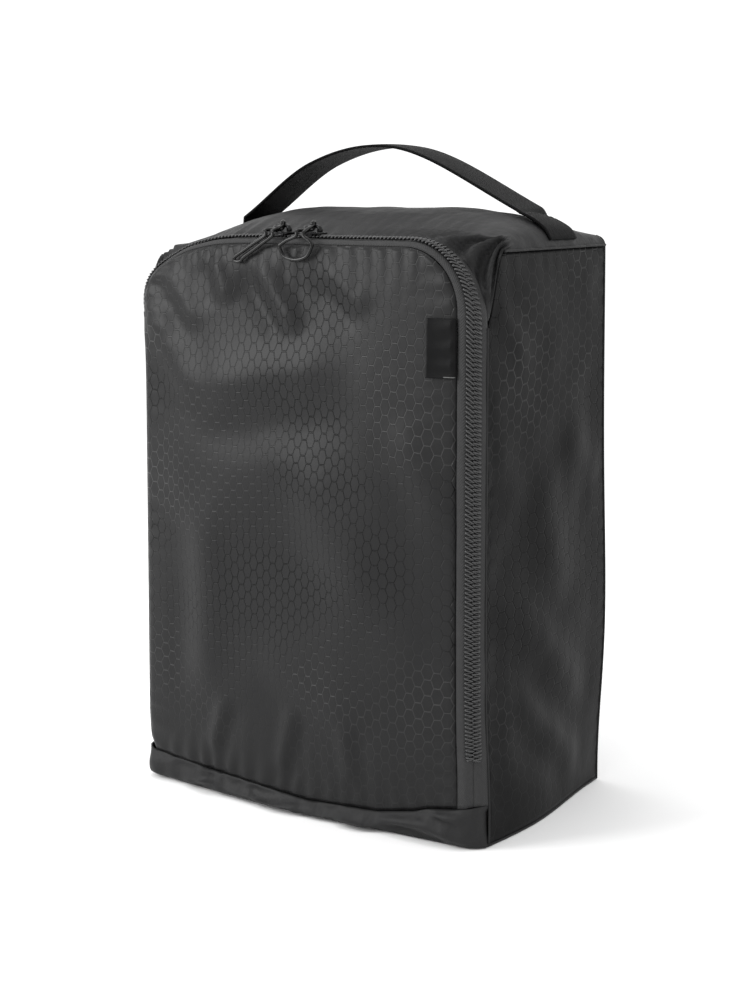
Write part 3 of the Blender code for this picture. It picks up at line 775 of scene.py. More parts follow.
# Cells crowd together away from the label's side, where the cloth is pulled open
cellSpread = {
    "crowded": 0.0048,
    "open": 0.0062,
    "from": 0.04,
    "over": 0.075,
    "sideways": 0.003,  # how far the rows drift, and over what distance
    "sidewaysSize": 0.09,
    "upward": 0.012,
    "upwardSize": 0.16,
    "shake": 0.0015,
    "shakeSize": 0.05,
}


def flapWeave(x, z):
    spread = np.linspace(-bag["half"], bag["half"], 400)
    pulled = smoothStep((spread - cellSpread["from"]) / cellSpread["over"])
    pitch = mix(cellSpread["crowded"], cellSpread["open"], pulled)
    cells = np.concatenate([[0], np.cumsum(np.diff(spread) / ((pitch[1:] + pitch[:-1]) / 2))])
    across = np.interp(x, spread, cells) * honeycomb["column"]
    flat = np.stack([x, np.zeros_like(x), z], -1)
    across = across + cellSpread["sideways"] * roll(flat, cellSpread["sidewaysSize"], 21)
    along = z + cellSpread["upward"] * roll(flat, cellSpread["upwardSize"], 23)
    along = along + cellSpread["shake"] * roll(flat, cellSpread["shakeSize"], 27)
    return np.stack([across, along], -1)


def makeFlap():
    x, z = flapGrid()
    points = flapSurface(x, z)
    slack, edgeGap = flapSlack(points)
    points[..., 1] -= slack + turnedEdge(edgeGap)
    over = smoothStep((-x - flapLook["overFrom"]) / 0.020) * smoothStep((z - flapLook["overLow"]) / 0.012)
    over = over * (1 - smoothStep((z - flapLook["overHigh"]) / 0.040))
    points[..., 0] -= flapLook["overhang"] * over
    points[..., 1] += 0.0012 * over
    weave = flapWeave(x, z)
    piece = clothPiece("flap_fabric", slump(points), weave, honeycombNylon, flapLook["cloth"], (0, -1, 0))
    fitFlap(piece, "honeycomb_fabric", "flap_panel")


liningLook = {
    "cloth": 0.0006,
    "edge": 0.002,  # it ends inside the flap's edge
    "behind": 0.0024,
    "loose": 0.0008,
    "hang": 0.0026,  # slacker at the hinge, for the bend
    "hangReach": 0.035,
    "standOff": 0.0012,  # between the body's cloth and its lining
}


def liningPiece(name, points, weave, inward):
    return clothPiece(f"{name}_cloth", points, weave, liningCloth, liningLook["cloth"], inward)


def makeFlapLining():
    x, z = flapGrid(liningLook["edge"])
    points = flapSurface(x, z)
    slack, edgeGap = flapSlack(points)
    loose = liningLook["loose"] * roll(points, 0.03, 31) * smoothStep(edgeGap / 0.02)
    hang = liningLook["hang"] * np.exp(-(z - bag["flapFoot"]) / liningLook["hangReach"])
    points[..., 1] += liningLook["behind"] + hang - slack + np.abs(loose)
    weave = np.stack([x, z], -1)
    piece = liningPiece("flap_lining", slump(points), weave, (0, 1, 0))
    fitFlap(piece, "lining_fabric", "flap_lining")


# Small gathers that a seam draws into the cloth beside it
def seamGather(walk, gap, seed, height=0.0009, length=0.011, reach=0.009):
    place = np.stack([walk, np.zeros_like(walk), np.full_like(walk, seed)], -1)
    wander = roll(place, 0.03, seed)
    strength = 0.5 + 0.5 * roll(place, 0.06, seed + 2)
    wave = np.sin(2 * math.pi * walk / length + 4 * wander)
    return height * strength * wave * np.exp(-gap / reach) * smoothStep(gap / 0.003)


# Rows of cells that wander a little over the panel
def driftedCells(points, across, along, seed, drift, size):
    across = across + drift * roll(points, size, seed)
    return np.stack([across, along + 0.008 * roll(points, 0.1, seed + 2)], -1)


sideLook = {
    "rows": 120,
    "columns": 60,
    "sway": 0.0022,
    "swaySize": 0.095,
    "ripple": 0.001,
    "rippleSize": 0.03,
    "bulge": 0.0021,
}

# The sides' creases: start and end as (0, y, z), width, height, lean
sideFolds = [
    ((0, -0.060, 0.335), (0, -0.020, 0.285), 0.009, 0.0009, 0.5),
    ((0, -0.062, 0.290), (0, -0.035, 0.190), 0.012, 0.0008, 0.6),
    ((0, -0.050, 0.150), (0, 0.060, 0.060), 0.016, 0.0028, 0.7),
    ((0, -0.040, 0.085), (0, 0.050, 0.022), 0.012, 0.0022, 0.6),
    ((0, 0.020, 0.240), (0, 0.074, 0.205), 0.014, 0.0016, 0.6),
    ((0, -0.020, 0.215), (0, 0.030, 0.130), 0.020, 0.0018, 0.6),
]


# A crease drawn on a side, where y runs across and z up
def sideFold(y, z, start, end, width, height, lean):
    flat = np.stack([y, np.zeros_like(y), z], -1)
    return fold(flat, (start[1], 0, start[2]), (end[1], 0, end[2]), width, height, lean)


def makeSide(name, flip):
    u = np.linspace(0, 0.9985, sideLook["rows"])
    if flip:
        u = 5 - u
    q = np.linspace(0, 1, sideLook["columns"])
    points = bodyPoint(u[:, None], q[None, :])
    outward = (1 if flip else -1, 0, 0)
    normal = gridNormals(points, outward)
    y, z = points[..., 1], points[..., 2]
    front, top = y.min(), bag["tall"] - bag["boxCorner"]
    frontGap, backGap, topGap = y - front, bag["back"] - y, np.maximum(top - z, 0)
    edgeGap = np.minimum(np.minimum(frontGap, backGap), np.minimum(z, topGap))
    seed = 41 if flip else 57
    sway = sideLook["sway"] * roll(points, sideLook["swaySize"], seed)
    sway += sideLook["ripple"] * roll(points, sideLook["rippleSize"], seed + 1)
    bulge = sideLook["bulge"] * np.sin(math.pi * np.clip(z / top, 0, 1))
    bulge = bulge * np.sin(math.pi * np.clip(frontGap / (bag["back"] - front), 0, 1))
    slack = smoothStep(edgeGap / 0.025) * sway + bulge
    for crease in sideFolds:
        slack += sideFold(y, z, *crease) * smoothStep(edgeGap / 0.008)
    slack += seamGather(z, frontGap, seed, 0.0008, 0.016)
    slack += seamGather(y, topGap, seed + 5, 0.0004, 0.017)
    slack += seamGather(z, backGap, seed + 9, 0.0006)
    points = points + normal * (slack - 0.0002)[..., None]
    weave = driftedCells(points, y, z, seed + 13, 0.004, 0.07)
    # The sides wear the shaded copy of the cloth, with painted shade
    piece = clothPiece(f"{name}_side_fabric", slump(points), weave, shadedSideNylon, bag["fabric"], outward)
    fit(piece, "shell", "honeycomb_fabric", f"{name}_side_panel")


topLook = {
    "columns": 150,
    "rows": 64,
    "first": 1.05,  # where its left seam lies round the corner, as u
    "cornerSteps": 26,
    "sway": 0.0022,
    "swaySize": 0.05,
    "ripple": 0.0009,
    "rippleSize": 0.018,
    "leftPleat": 0.0006,  # the gusset's folds, from the zip's corner to the seam
    "rightPleat": 0.0042,
    "leftDip": 0.0040,
    "rightDip": 0.0030,
}


# Walk from the left seam to the right one, closer together round the corners
def topStations(count):
    corner = np.linspace(topLook["first"], 2, topLook["cornerSteps"])[:-1]
    middle = np.linspace(2, 3, count - 2 * len(corner))
    return np.concatenate([corner, middle, 5 - corner[::-1]])


def makeTop():
    u = topStations(topLook["columns"])
    q = np.linspace(0, 1, topLook["rows"]) ** 1.15
    points = bodyPoint(u[None, :], q[:, None])
    normal = gridNormals(points, (0, 0, 1))
    x, y = points[..., 0], points[..., 1]
    frontGap = y - y.min(0)[None, :]
    sideGap = np.minimum(u - topLook["first"], 5 - topLook["first"] - u)[None, :] * 0.0094
    sideGap = sideGap + np.maximum(bag["half"] - 0.008 - np.abs(x), 0)
    edgeGap = np.minimum(np.minimum(frontGap, bag["back"] - y), sideGap)
    sway = topLook["sway"] * roll(points, topLook["swaySize"], 71, (1, 0.6, 1))
    sway += topLook["ripple"] * roll(points, topLook["rippleSize"], 73, (1, 0.5, 1))
    slack = smoothStep(edgeGap / 0.02) * sway
    slack += seamGather(x, frontGap, 75, 0.0020, 0.011, 0.018)
    slack += seamGather(y, sideGap, 79, 0.0005, 0.016)
    slack += seamGather(x, bag["back"] - y, 83, 0.0008)
    aside = np.abs(u - 2.5)[None, :]
    corner = smoothStep((aside - 0.45) / 0.35) * smoothStep(1.6 - frontGap / 0.018)
    wave = np.sin(u[None, :] * 20 + frontGap * 420) * smoothStep(frontGap / 0.004)
    trough = np.exp(-(((frontGap - 0.010) / 0.006) ** 2))
    right = smoothStep(u - 2)[None, :]
    pleat = mix(topLook["leftPleat"], topLook["rightPleat"], right) * wave
    dip = mix(topLook["leftDip"], topLook["rightDip"], right) * trough
    slack += corner * (pleat * smoothStep((1.45 - aside) / 0.2) - dip * smoothStep((1.45 - aside) / 0.3))
    points = points + normal * slack[..., None]
    weave = np.stack([x, y], -1)
    piece = clothPiece("top_fabric", slump(points), weave, plainNylon, bag["fabric"], (0, 0, 1))
    fit(piece, "shell", "plain_fabric", "top_panel")


backLook = {
    "rows": 110,
    "columns": 90,
    "behind": 0.0016,
    "bulge": 0.003,
    "sway": 0.0024,
    "swaySize": 0.08,
    "ripple": 0.0008,
    "rippleSize": 0.03,
}


def makeBack():
    radius = bag["boxCorner"]
    straight = bag["tall"] - radius
    turned = straight + radius * np.sin(np.linspace(0, math.pi / 2, 6))[1:]
    heights = np.concatenate([np.linspace(0.0004, straight, backLook["rows"]), turned])
    shares = np.linspace(-1, 1, backLook["columns"])
    over = np.clip(heights - straight, 0, radius)
    half = bag["half"] - radius + np.sqrt(np.maximum(radius**2 - over**2, 0))
    x = shares[None, :] * half[:, None]
    z = np.repeat(heights[:, None], len(shares), 1)
    swell = (1 - (x / bag["half"]) ** 4) * np.sin(math.pi * np.clip(z / bag["tall"], 0, 1))
    points = np.stack([x, bag["back"] + backLook["behind"] + backLook["bulge"] * swell, z], -1)
    sideGap, topGap = half[:, None] - np.abs(x), bag["tall"] - z
    edgeGap = np.minimum(np.minimum(sideGap, z), topGap)
    sway = backLook["sway"] * roll(points, backLook["swaySize"], 91)
    sway += backLook["ripple"] * roll(points, backLook["rippleSize"], 93)
    slack = smoothStep(edgeGap / 0.03) * sway
    slack += seamGather(z, sideGap, 95, 0.0009)
    slack += seamGather(x, topGap, 97, 0.0009)
    points[..., 1] += slack
    weave = driftedCells(points, x * 1.05, z, 99, 0.005, 0.09)
    piece = clothPiece("back_fabric", slump(points), weave, honeycombNylon, bag["fabric"], (0, 1, 0))
    fit(piece, "shell", "honeycomb_fabric", "back_panel")


sillLook = {
    "bend": 0.005,  # radius where the bottom turns up
    "lowest": 0.0002,
    "bulge": 0.0022,
    "crumple": 0.0026,
    "crumpleSize": 0.020,
    "crinkle": 0.0012,
    "crinkleSize": 0.009,
}

# The sill's creases: start, end, width, height
sillFolds = [
    ((0.060, 0, 0.016), (0.124, 0, 0.003), 0.0040, 0.0046),
    ((0.030, 0, 0.013), (0.064, 0, 0.003), 0.0032, 0.0034),
    ((-0.030, 0, 0.004), (0.010, 0, 0.014), 0.0032, 0.0030),
    ((-0.090, 0, 0.003), (-0.060, 0, 0.015), 0.0036, 0.0030),
    ((0.096, 0, 0.017), (0.122, 0, 0.011), 0.0028, 0.0034),
]


# The bottom cloth turns up at the front as the sill under the flap
def makeBottom():
    straight = bag["half"] - legRadius
    turn = np.linspace(0, math.pi / 2 - 0.03, 14)
    side = straight + legRadius * np.sin(turn)
    columns = np.concatenate([-side[::-1], np.linspace(-straight, straight, 70)[1:-1], side])
    turns = np.concatenate([-turn[::-1], np.zeros(68), turn])
    sill = bag["flapFoot"] - 0.0004
    rows = []
    bend = sillLook["bend"]
    depth = np.linspace(bag["back"], bag["front"] + legRadius + bend, 30)
    for y in depth:
        rows.append(np.stack([columns, np.full_like(columns, y), np.zeros_like(columns)], -1))
    front = bag["front"] + legRadius * (1 - np.cos(turns))
    ease = bend * np.maximum(np.cos(turns), 0.1)
    for share in (0.35, 0.7):
        y = mix(bag["front"] + legRadius + bend, front + ease, share)
        rows.append(np.stack([columns, y, np.zeros_like(columns)], -1))
    for angle in np.linspace(0, math.pi / 2, 7):
        y = front + ease * (1 - math.sin(angle))
        rows.append(np.stack([columns, y, ease * (1 - math.cos(angle))], -1))
    for z in np.linspace(bend, sill, 12)[1:]:
        rows.append(np.stack([columns, front, np.maximum(ease, z)], -1))
    points = np.array(rows)
    height = points[..., 2]
    upright = smoothStep(height / 0.004)
    swell = np.sin(math.pi * np.clip(height / sill, 0, 1)) * np.cos(turns)[None, :] ** 2
    crumple = sillLook["crumple"] * roll(points, sillLook["crumpleSize"], 111, (1, 1, 1.6))
    crumple += sillLook["crinkle"] * roll(points, sillLook["crinkleSize"], 113)
    gather = seamGather(points[..., 0], sill - height, 115, 0.0014, 0.013, 0.010)
    flat = np.stack([points[..., 0], np.zeros_like(height), height], -1)
    for start, end, width, tall in sillFolds:
        crumple = crumple + fold(flat, start, end, width, tall, 0.5)
    push = upright * (sillLook["bulge"] * swell + crumple * smoothStep((sill - height) / 0.004) + gather)
    front = np.stack([np.sin(turns), -np.cos(turns), np.zeros_like(turns)], -1)[None]
    points = points + front * push[..., None]
    points[..., 2] = np.maximum(points[..., 2], sillLook["lowest"])
    weave = np.stack([points[..., 0], points[..., 1] + points[..., 2]], -1)
    shaped = slump(points)
    shaped[..., 2] = np.maximum(shaped[..., 2], sillLook["lowest"])
    piece = clothPiece("bottom_fabric", shaped, weave, plainNylon, bag["fabric"], (0, 0, -1))
    fit(piece, "shell", "plain_fabric", "bottom_panel")


# A flat lining from its own box, crumpled towards the inside of the bag
def lineBox(name, across, up, face, reach, crumple, seed, steps):
    low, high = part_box(name)
    a, b = np.meshgrid(np.linspace(low[across], high[across], 50), np.linspace(low[up], high[up], steps))
    points = np.zeros((*a.shape, 3))
    points[..., across], points[..., up], points[..., 3 - across - up] = a, b, reach
    points = points + np.array(face) * (crumple * np.abs(roll(points, 0.05, seed)))[..., None]
    piece = liningPiece(name, points, points[..., [across, up]], face)
    fit(piece, "shell", "lining_fabric", name)


def makeLinings():
    inside = bag["fabric"] + liningLook["standOff"]
    q = np.linspace(0.16, 0.975, 30)
    for name, flip in (("left", False), ("right", True)):
        u = np.linspace(0.012, 0.975, 60)
        if flip:
            u = 5 - u
        points = bodyPoint(u[:, None], q[None, :])
        outward = 1 if flip else -1
        normal = gridNormals(points, (outward, 0, 0))
        points = points - normal * (inside + 0.0016 * np.abs(roll(points, 0.04, 121)))[..., None]
        name = f"{name}_side_lining"
        piece = liningPiece(name, slump(points), points[..., 1:], (-outward, 0, 0))
        fit(piece, "shell", "lining_fabric", name)
    corner = np.linspace(1.28, 2, 10)[:-1]
    u = np.concatenate([corner, np.linspace(2, 3, 60), 5 - corner[::-1]])
    points = bodyPoint(u[None, :], q[:, None])
    normal = gridNormals(points, (0, 0, 1))
    points = points - normal * (inside + 0.002 * np.abs(roll(points, 0.04, 125)))[..., None]
    piece = liningPiece("top_lining", slump(points), points[..., :2], (0, 0, -1))
    fit(piece, "shell", "lining_fabric", "top_lining")
    lineBox("back_lining", 0, 2, (0, -1, 0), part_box("back_lining")[0].y + 0.001, 0.003, 127, 70)
    lineBox("bottom_lining", 0, 1, (0, 0, 1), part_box("bottom_lining")[1].z, 0.002, 129, 30)


makeFlap()
makeFlapLining()
for which, isRight in (("left", False), ("right", True)):
    makeSide(which, isRight)
makeTop()
makeBack()
makeBottom()
makeLinings()
print("cloth panels sewn")


# Even steps along the U of the zip, as values of u
def zipStations(count, foot):
    u = np.linspace(0, 5, 4000)
    line = stripPoint(u, zipper["strip"] / 2, 0.0, foot)
    gone = np.concatenate([[0], np.cumsum(np.linalg.norm(np.diff(line, axis=0), axis=1))])
    return np.interp(np.linspace(0, gone[-1], count), gone, u), gone[-1], (gone, u)


def makeTape(name, first, last, seed, body, node):
    foot = bag["flapFoot"]
    u, length, _ = zipStations(360, foot)
    s = np.linspace(first, last, 9)
    flutter = zipper["flutter"] * roll(stripPoint(u[:, None], s[None, :], 0.0, foot), 0.02, seed)
    points = stripPoint(u[:, None], s[None, :], flutter, foot)
    walk = np.linspace(0, length, len(u))
    weave = np.stack(np.broadcast_arrays(s[None, :], walk[:, None]), -1)
    piece = clothPiece(name, slump(points), weave, zipTape, zipper["tapeThick"], (0, 0, 1))
    if body == "flap":
        fitFlap(piece, "zip_tape", node)
    else:
        fit(piece, body, "zip_tape", node)


# A wound coil: each loop crosses over its tape towards the middle, and goes back underneath
def makeCoil(name, outer, inner, shift, body, node):
    foot = zipper["coilFoot"]
    _, length, (gone, walk) = zipStations(2, foot)
    turns = int(length / zipper["pitch"])
    perTurn = 12
    phase = np.arange(turns * perTurn) / perTurn
    part = phase % 1
    crossing, slant = zipper["crossing"], zipper["slant"]
    over = np.clip(part / crossing, 0, 1)
    under = np.clip((part - crossing) / (1 - crossing), 0, 1)
    travel = (np.floor(phase) + smoothStep(over) * slant + under * (1 - slant) + shift) * zipper["pitch"]
    u = np.interp(np.clip(travel, 0, length), gone, walk)
    angle = (over + under) * math.pi
    s = mix(outer, inner, (1 - np.cos(angle)) / 2)
    tall = zipper["rise"] - zipper["low"]
    lift = zipper["low"] + tall / 2 + (tall / 2 - zipper["wire"]) * np.sin(angle)
    path = slump(stripPoint(u, s, lift, foot))
    piece = tubePiece(name, path, zipper["wire"], coilNylon, sides=6)
    if body == "flap":
        fitFlap(piece, "zip_coil", node)
    else:
        fit(piece, body, "zip_coil", node)


strip = zipper["strip"]
makeTape("flap_tape", 0.0002, strip / 2 - 0.00005, 131, "flap", "flap_zip_tape")
makeTape("body_tape", strip / 2 + 0.00005, strip - 0.0002, 133, "shell", "body_zip_tape")
coilOuter, coilInner = zipper["tape"] + 0.0005, strip / 2 + 0.0002
makeCoil("flap_coil", coilOuter, coilInner, 0.0, "flap", "flap_zip_coil")
makeCoil("body_coil", strip - coilOuter, strip - coilInner, 0.5, "shell", "body_zip_coil")


def makeStops():
    for name in ("left", "right"):
        low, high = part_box(f"{name}_zip_stop")
        middle = (low + high) / 2
        inward = 0.0040 if name == "left" else 0.0  # the left one is pulled in with its leg
        corners = [(low.x, middle.y), (middle.x, low.y), (high.x, middle.y), (middle.x, high.y)]
        corners = [(x + inward, y + inward / 2) for x, y in corners]
        piece = platePiece(f"{name}_stop_crimp", corners, low.z, high.z, sliderMetal, bevel=0.0005)
        fit(piece, "shell", "slider_metal", f"{name}_zip_stop")


makeStops()
print("zip laid")


sliderLook = {
    "plate": 0.0012,
    "shoulders": 0.0064,  # half width of the upper plate
    "under": 0.82,  # the lower plate is narrower
    "underDrop": 0.0012,
    "rimDrop": 0.0018,
    "bar": 0.0008,
    "arch": 0.0011,
}

# Half of a slider's plate: along it and out from the middle, as shares
plateShape = [
    (1.0, 0.42),
    (0.86, 0.86),
    (0.55, 1.0),
    (0.1, 0.96),
    (-0.35, 0.74),
    (-0.8, 0.72),
    (-0.95, 0.5),
    (-1.0, 0.2),
]
# The turned-down rims and the wedge between the coils: along as shares, across in metres
rimShape = [(-0.3, 0.0013), (0.55, 0.0001), (0.55, 0.0012), (-0.3, 0.0024)]
wedgeShape = [(0.9, 0.0006), (0.9, -0.0006), (0.45, 0.0)]


def sliderOutline(x, nose, half, scale):
    near = [(x + nose * a * half, b * scale) for a, b in plateShape]
    far = [(px, -py) for px, py in reversed(near)]
    return [(px, chainY + py) for px, py in near + far]


def makeSlider(side, nose):
    low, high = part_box(f"{side}_slider_body")
    x = (low.x + high.x) / 2
    half = (high.x - low.x) / 2
    top = high.z
    foot = low.z - sliderLook["underDrop"]
    plate, shoulders = sliderLook["plate"], sliderLook["shoulders"]
    wide = sliderOutline(x, nose, half, shoulders)
    narrow = sliderOutline(x, nose, half, shoulders * sliderLook["under"])
    pieces = [platePiece("upper", wide, top - plate, top, sliderMetal, 0.0004)]
    pieces.append(platePiece("under", narrow, foot, foot + plate, sliderMetal))
    for sign in (-1, 1):
        edge = chainY + sign * shoulders
        corners = [(x + nose * half * a, edge - sign * b) for a, b in rimShape]
        rimFoot = top - plate - sliderLook["rimDrop"]
        pieces.append(platePiece("rim", corners, rimFoot, top - plate / 2, sliderMetal, 0.0002))
    wedge = [(x + nose * half * a, chainY + b) for a, b in wedgeShape]
    pieces.append(platePiece("wedge", wedge, low.z + plate / 2, top - plate / 2, sliderMetal, 0.0001))
    body = joinPieces(f"{side}_slider", pieces)
    fit(body, f"{side}_slider", "slider_metal", f"{side}_slider_body")
    # The bridge arches over the plate, thicker at its feet
    barLow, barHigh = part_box(f"{side}_slider_bridge")
    barZ = barHigh.z - sliderLook["bar"]
    reach = (barHigh.x - barLow.x) / 2 - sliderLook["bar"]
    turn = np.linspace(0, math.pi, 21)
    arch = np.sign(np.cos(turn)) * np.abs(np.cos(turn)) ** 0.5 * reach
    rise = np.sin(turn) ** 0.45 * (barZ - top + 0.0006)
    path = np.stack([x + arch, np.full_like(arch, chainY), top - 0.0006 + rise], -1)
    thick = sliderLook["arch"] * (1 + 0.6 * np.abs(np.cos(turn)) ** 2)
    bridge = tubePiece(f"{side}_bridge", path, thick, sliderMetal, sides=10)
    fit(bridge, f"{side}_slider", "slider_metal", f"{side}_slider_bridge")
    return x, barZ


# How each loop hangs: how far aside, its half width, and how far down
pullLook = {
    "cord": 0.00115,
    "left": {"lean": -0.027, "spread": 0.0034, "drop": 0.0215},
    "right": {"lean": -0.004, "spread": 0.0118, "drop": 0.0136},
}


# A closed curve through the points, with count points between each two
def smoothLoop(points, count):
    points = np.array(points)
    ahead, behind = np.roll(points, -1, 0), np.roll(points, 1, 0)
    after = np.roll(points, -2, 0)
    found = []
    for i in range(len(points)):
        for t in np.arange(count) / count:
            a, b, c, d = behind[i], points[i], ahead[i], after[i]
            square, cube = 2 * a - 5 * b + 4 * c - d, 3 * b - a - 3 * c + d
            found.append(0.5 * (2 * b + (c - a) * t + square * t**2 + cube * t**3))
    return np.array(found)


# A loop of glossy cord round the bridge, hanging over the bag's front edge
def makePull(side, x, barZ):
    look = pullLook[side]
    cord = pullLook["cord"]
    lean, spread = look["lean"], look["spread"]
    wrap = sliderLook["bar"] + 0.0004 + cord
    near = cord * 1.3
    edge = bag["front"] - flapLook["bulge"] / 2 - cord - 0.0012 - chainY
    points = []
    for turn in np.linspace(0, 1, 7):
        angle = mix(-math.pi / 2, math.pi, turn)
        points.append((mix(-near, near, turn), wrap * math.cos(angle), wrap * math.sin(angle)))
    bend = wrap * 1.4
    points.append((near * 1.6, mix(-wrap, edge, 0.5), -wrap * 0.6))
    points.append((near * 1.8 + lean * 0.05, edge + bend * 0.3, -wrap - bend * 0.3))
    down = -wrap - bend

    def hang(sign, share):
        swell = math.sin(math.pi / 2 * min(share * 1.25, 1))
        aside = lean * share + sign * mix(near * 1.8, spread, swell)
        return (aside, edge, mix(down, -look["drop"], share))

    points += [hang(1, share) for share in (0.0, 0.3, 0.6, 0.85)]
    for angle in (math.pi / 4, math.pi / 2, 3 * math.pi / 4):
        x0, y0, z0 = hang(0, 0.9)
        points.append((x0 + spread * math.cos(angle), y0, z0 - spread * 0.6 * math.sin(angle)))
    points += [hang(-1, share) for share in (0.85, 0.6, 0.3, 0.0)]
    points.append((-near * 1.8 + lean * 0.05, edge + bend * 0.3, -wrap - bend * 0.15))
    points.append((-near * 1.4, mix(-wrap, edge, 0.5), -wrap))
    path = smoothLoop(points, 5) + np.array((x, chainY, barZ))
    piece = tubePiece(f"{side}_cord_pull", path, cord, pullCordGloss, sides=12, closed=True)
    fit(piece, f"{side}_pull", "pull_cord", f"{side}_pull")


for which, noseWay in (("left", 1), ("right", -1)):
    sliderX, bridgeZ = makeSlider(which, noseWay)
    makePull(which, sliderX, bridgeZ)
print("sliders threaded")


handleLook = {
    "wide": 0.034,
    "columns": 17,
    "thick": 0.0016,
    "rise": 0.0395,
    "square": 1.18,  # shape of the arch
    "fourth": 0.18,
    "cup": 0.0006,
    "pulledIn": 0.030128,  # on the right half
    "sunk": 0.0055,  # the left leg follows the sunken top
    "footEnd": 0.1272,
    "stitchFrom": 0.1090,
    "stitchTo": 0.1245,
    "stitchHalf": 0.0155,
}
handlePivot = {"x": 0.104, "y": 0.024, "z": 0.377061}


# One strap: sewn flat on the top at each end, and arched between
def makeHandle():
    over = np.linspace(-1, 1, handleLook["columns"])
    y = handlePivot["y"] + over / 2 * handleLook["wide"]
    cup = handleLook["cup"] * (1 - over**2)
    half = handleLook["thick"] / 2
    footX = np.linspace(handleLook["footEnd"], handlePivot["x"] + 0.0024, 22)
    foot = []
    for x in footX:
        z = topHeight(np.full_like(y, x), y) + 0.0008 + half
        foot.append(np.stack([np.full_like(y, x), y, z], -1))
    foot = slump(np.array(foot))
    arch = []
    for share in np.linspace(0.985, 0, 60):
        x = handlePivot["x"] * share
        rise = 1 - handleLook["square"] * share**2 + handleLook["fourth"] * share**4
        z = handlePivot["z"] + handleLook["rise"] * rise
        arch.append(np.stack([np.full_like(y, x), y, z + cup * rise**0.5], -1))
    arch = np.array(arch)
    corner = arch[0] + (arch[0] - arch[1]) * 1.2
    bend = []  # a small turned bend joins them
    for t in np.linspace(0, 1, 9)[1:-1]:
        bend.append((1 - t) ** 2 * foot[-1] + 2 * t * (1 - t) * corner + t**2 * arch[0])
    right = np.concatenate([foot, np.array(bend), arch])
    count = len(foot)
    mirrored = right[::-1][1:] * np.array((-1, 1, 1))
    across = right[count:, :, 0] / handlePivot["x"]
    right[count:, :, 0] -= handleLook["pulledIn"] * np.abs(across) ** 1.5 * np.clip(1 - across, 0, 1)
    sunk = smoothStep((-mirrored[..., 0] / handlePivot["x"] - 0.50) / 0.50)
    mirrored[..., 2] -= handleLook["sunk"] * sunk
    points = np.concatenate([right, mirrored])
    points[-count:] = slump(foot[::-1] * np.array((-1, 1, 1)))
    centre = points[:, handleLook["columns"] // 2]
    walk = np.concatenate([[0], np.cumsum(np.linalg.norm(np.diff(centre, axis=0), axis=1))])
    weave = np.stack(np.broadcast_arrays(y[None, :], walk[:, None]), -1)
    mesh = bpy.data.meshes.new("handle_strap")
    mesh.from_pydata(points.reshape(-1, 3).tolist(), [], gridFaces(*points.shape[:2]))
    setWeave(mesh, weave)
    showSmooth(mesh)
    strap = addPiece("handle_strap", mesh, webbingCloth)
    body = strap.modifiers.new("Thickness", "SOLIDIFY")
    body.thickness = handleLook["thick"]
    body.offset = 0
    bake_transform(strap)
    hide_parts("handle_webbing", "left_handle_end", "right_handle_end")


stitchLook = {"length": 0.0026, "gap": 0.0012, "thread": 0.00022}


# Short raised stitches along a path
def addStitches(path, finish):
    gone = np.concatenate([[0], np.cumsum(np.linalg.norm(np.diff(path, axis=0), axis=1))])
    thick = stitchLook["thread"] * np.array((0.5, 1, 1.1, 1, 0.5))
    pieces = []
    at = stitchLook["gap"] / 2
    while at + stitchLook["length"] < gone[-1]:
        places = np.linspace(at, at + stitchLook["length"], 5)
        spots = np.stack([np.interp(places, gone, path[:, k]) for k in range(3)], -1)
        pieces.append(tubePiece("stitch", spots, thick, finish, sides=5))
        at += stitchLook["length"] + stitchLook["gap"]
    return pieces


# A box of stitches through each end of the strap
def makeHandleStitches():
    near, far, half = handleLook["stitchFrom"], handleLook["stitchTo"], handleLook["stitchHalf"]
    for name, sign in (("left", -1), ("right", 1)):
        runs = []
        for x in (near, far):
            y = np.linspace(-half, half, 12) + handlePivot["y"]
            runs.append((np.full_like(y, x), y))
        for y in (-half, half):
            x = np.linspace(near, far, 8)
            runs.append((x, np.full_like(x, y + handlePivot["y"])))
        pieces = []
        for x, y in runs:
            line = np.stack([sign * x, y, topHeight(x, y) + 0.0025], -1)
            pieces += addStitches(slump(line), darkThread)
        fit(joinPieces(f"{name}_handle_stitches", pieces), "shell", "webbing")


makeHandle()
makeHandleStitches()
print("handle sewn on")


labelLook = {
    "cloth": 0.0006,
    "above": 0.001,
    "curl": 0.0012,  # its free edge lifts
    "sag": 0.0004,
    "corner": 0.00072,
    "hem": 0.00035,
}


def makeLabel():
    low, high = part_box("blank_label")
    x, z = np.meshgrid(np.linspace(low.x, high.x + 0.0006, 25), np.linspace(low.z, high.z, 45))
    points = flapSurface(x, z)
    slack, edgeGap = flapSlack(points)
    free = (high.x - x) / (high.x - low.x)
    lift = labelLook["above"] + labelLook["curl"] * free**3 + labelLook["sag"] * roll(points, 0.02, 151)
    lift = lift + labelLook["corner"] * smoothStep((z.min() + 0.010 - z) / 0.010)
    points[..., 1] -= slack + turnedEdge(edgeGap) + lift
    weave = np.stack([x, z], -1)
    piece = clothPiece("blank_tab", slump(points), weave, labelCloth, labelLook["cloth"], (0, -1, 0))
    fit(piece, "flap", "label_cloth", "blank_label")
    # A pale thread along the tab's lower edge: a painted highlight where its fold catches the light
    edge = points[1, 15:25] - np.array((0, 0.0003, 0))
    hem = tubePiece("tab_hem_highlight", slump(edge), labelLook["hem"], paintedHighlightThread, sides=6)
    fit(hem, "flap", "label_cloth")


weltLook = {"top": 0.0008, "front": 0.0007, "back": 0.0005}


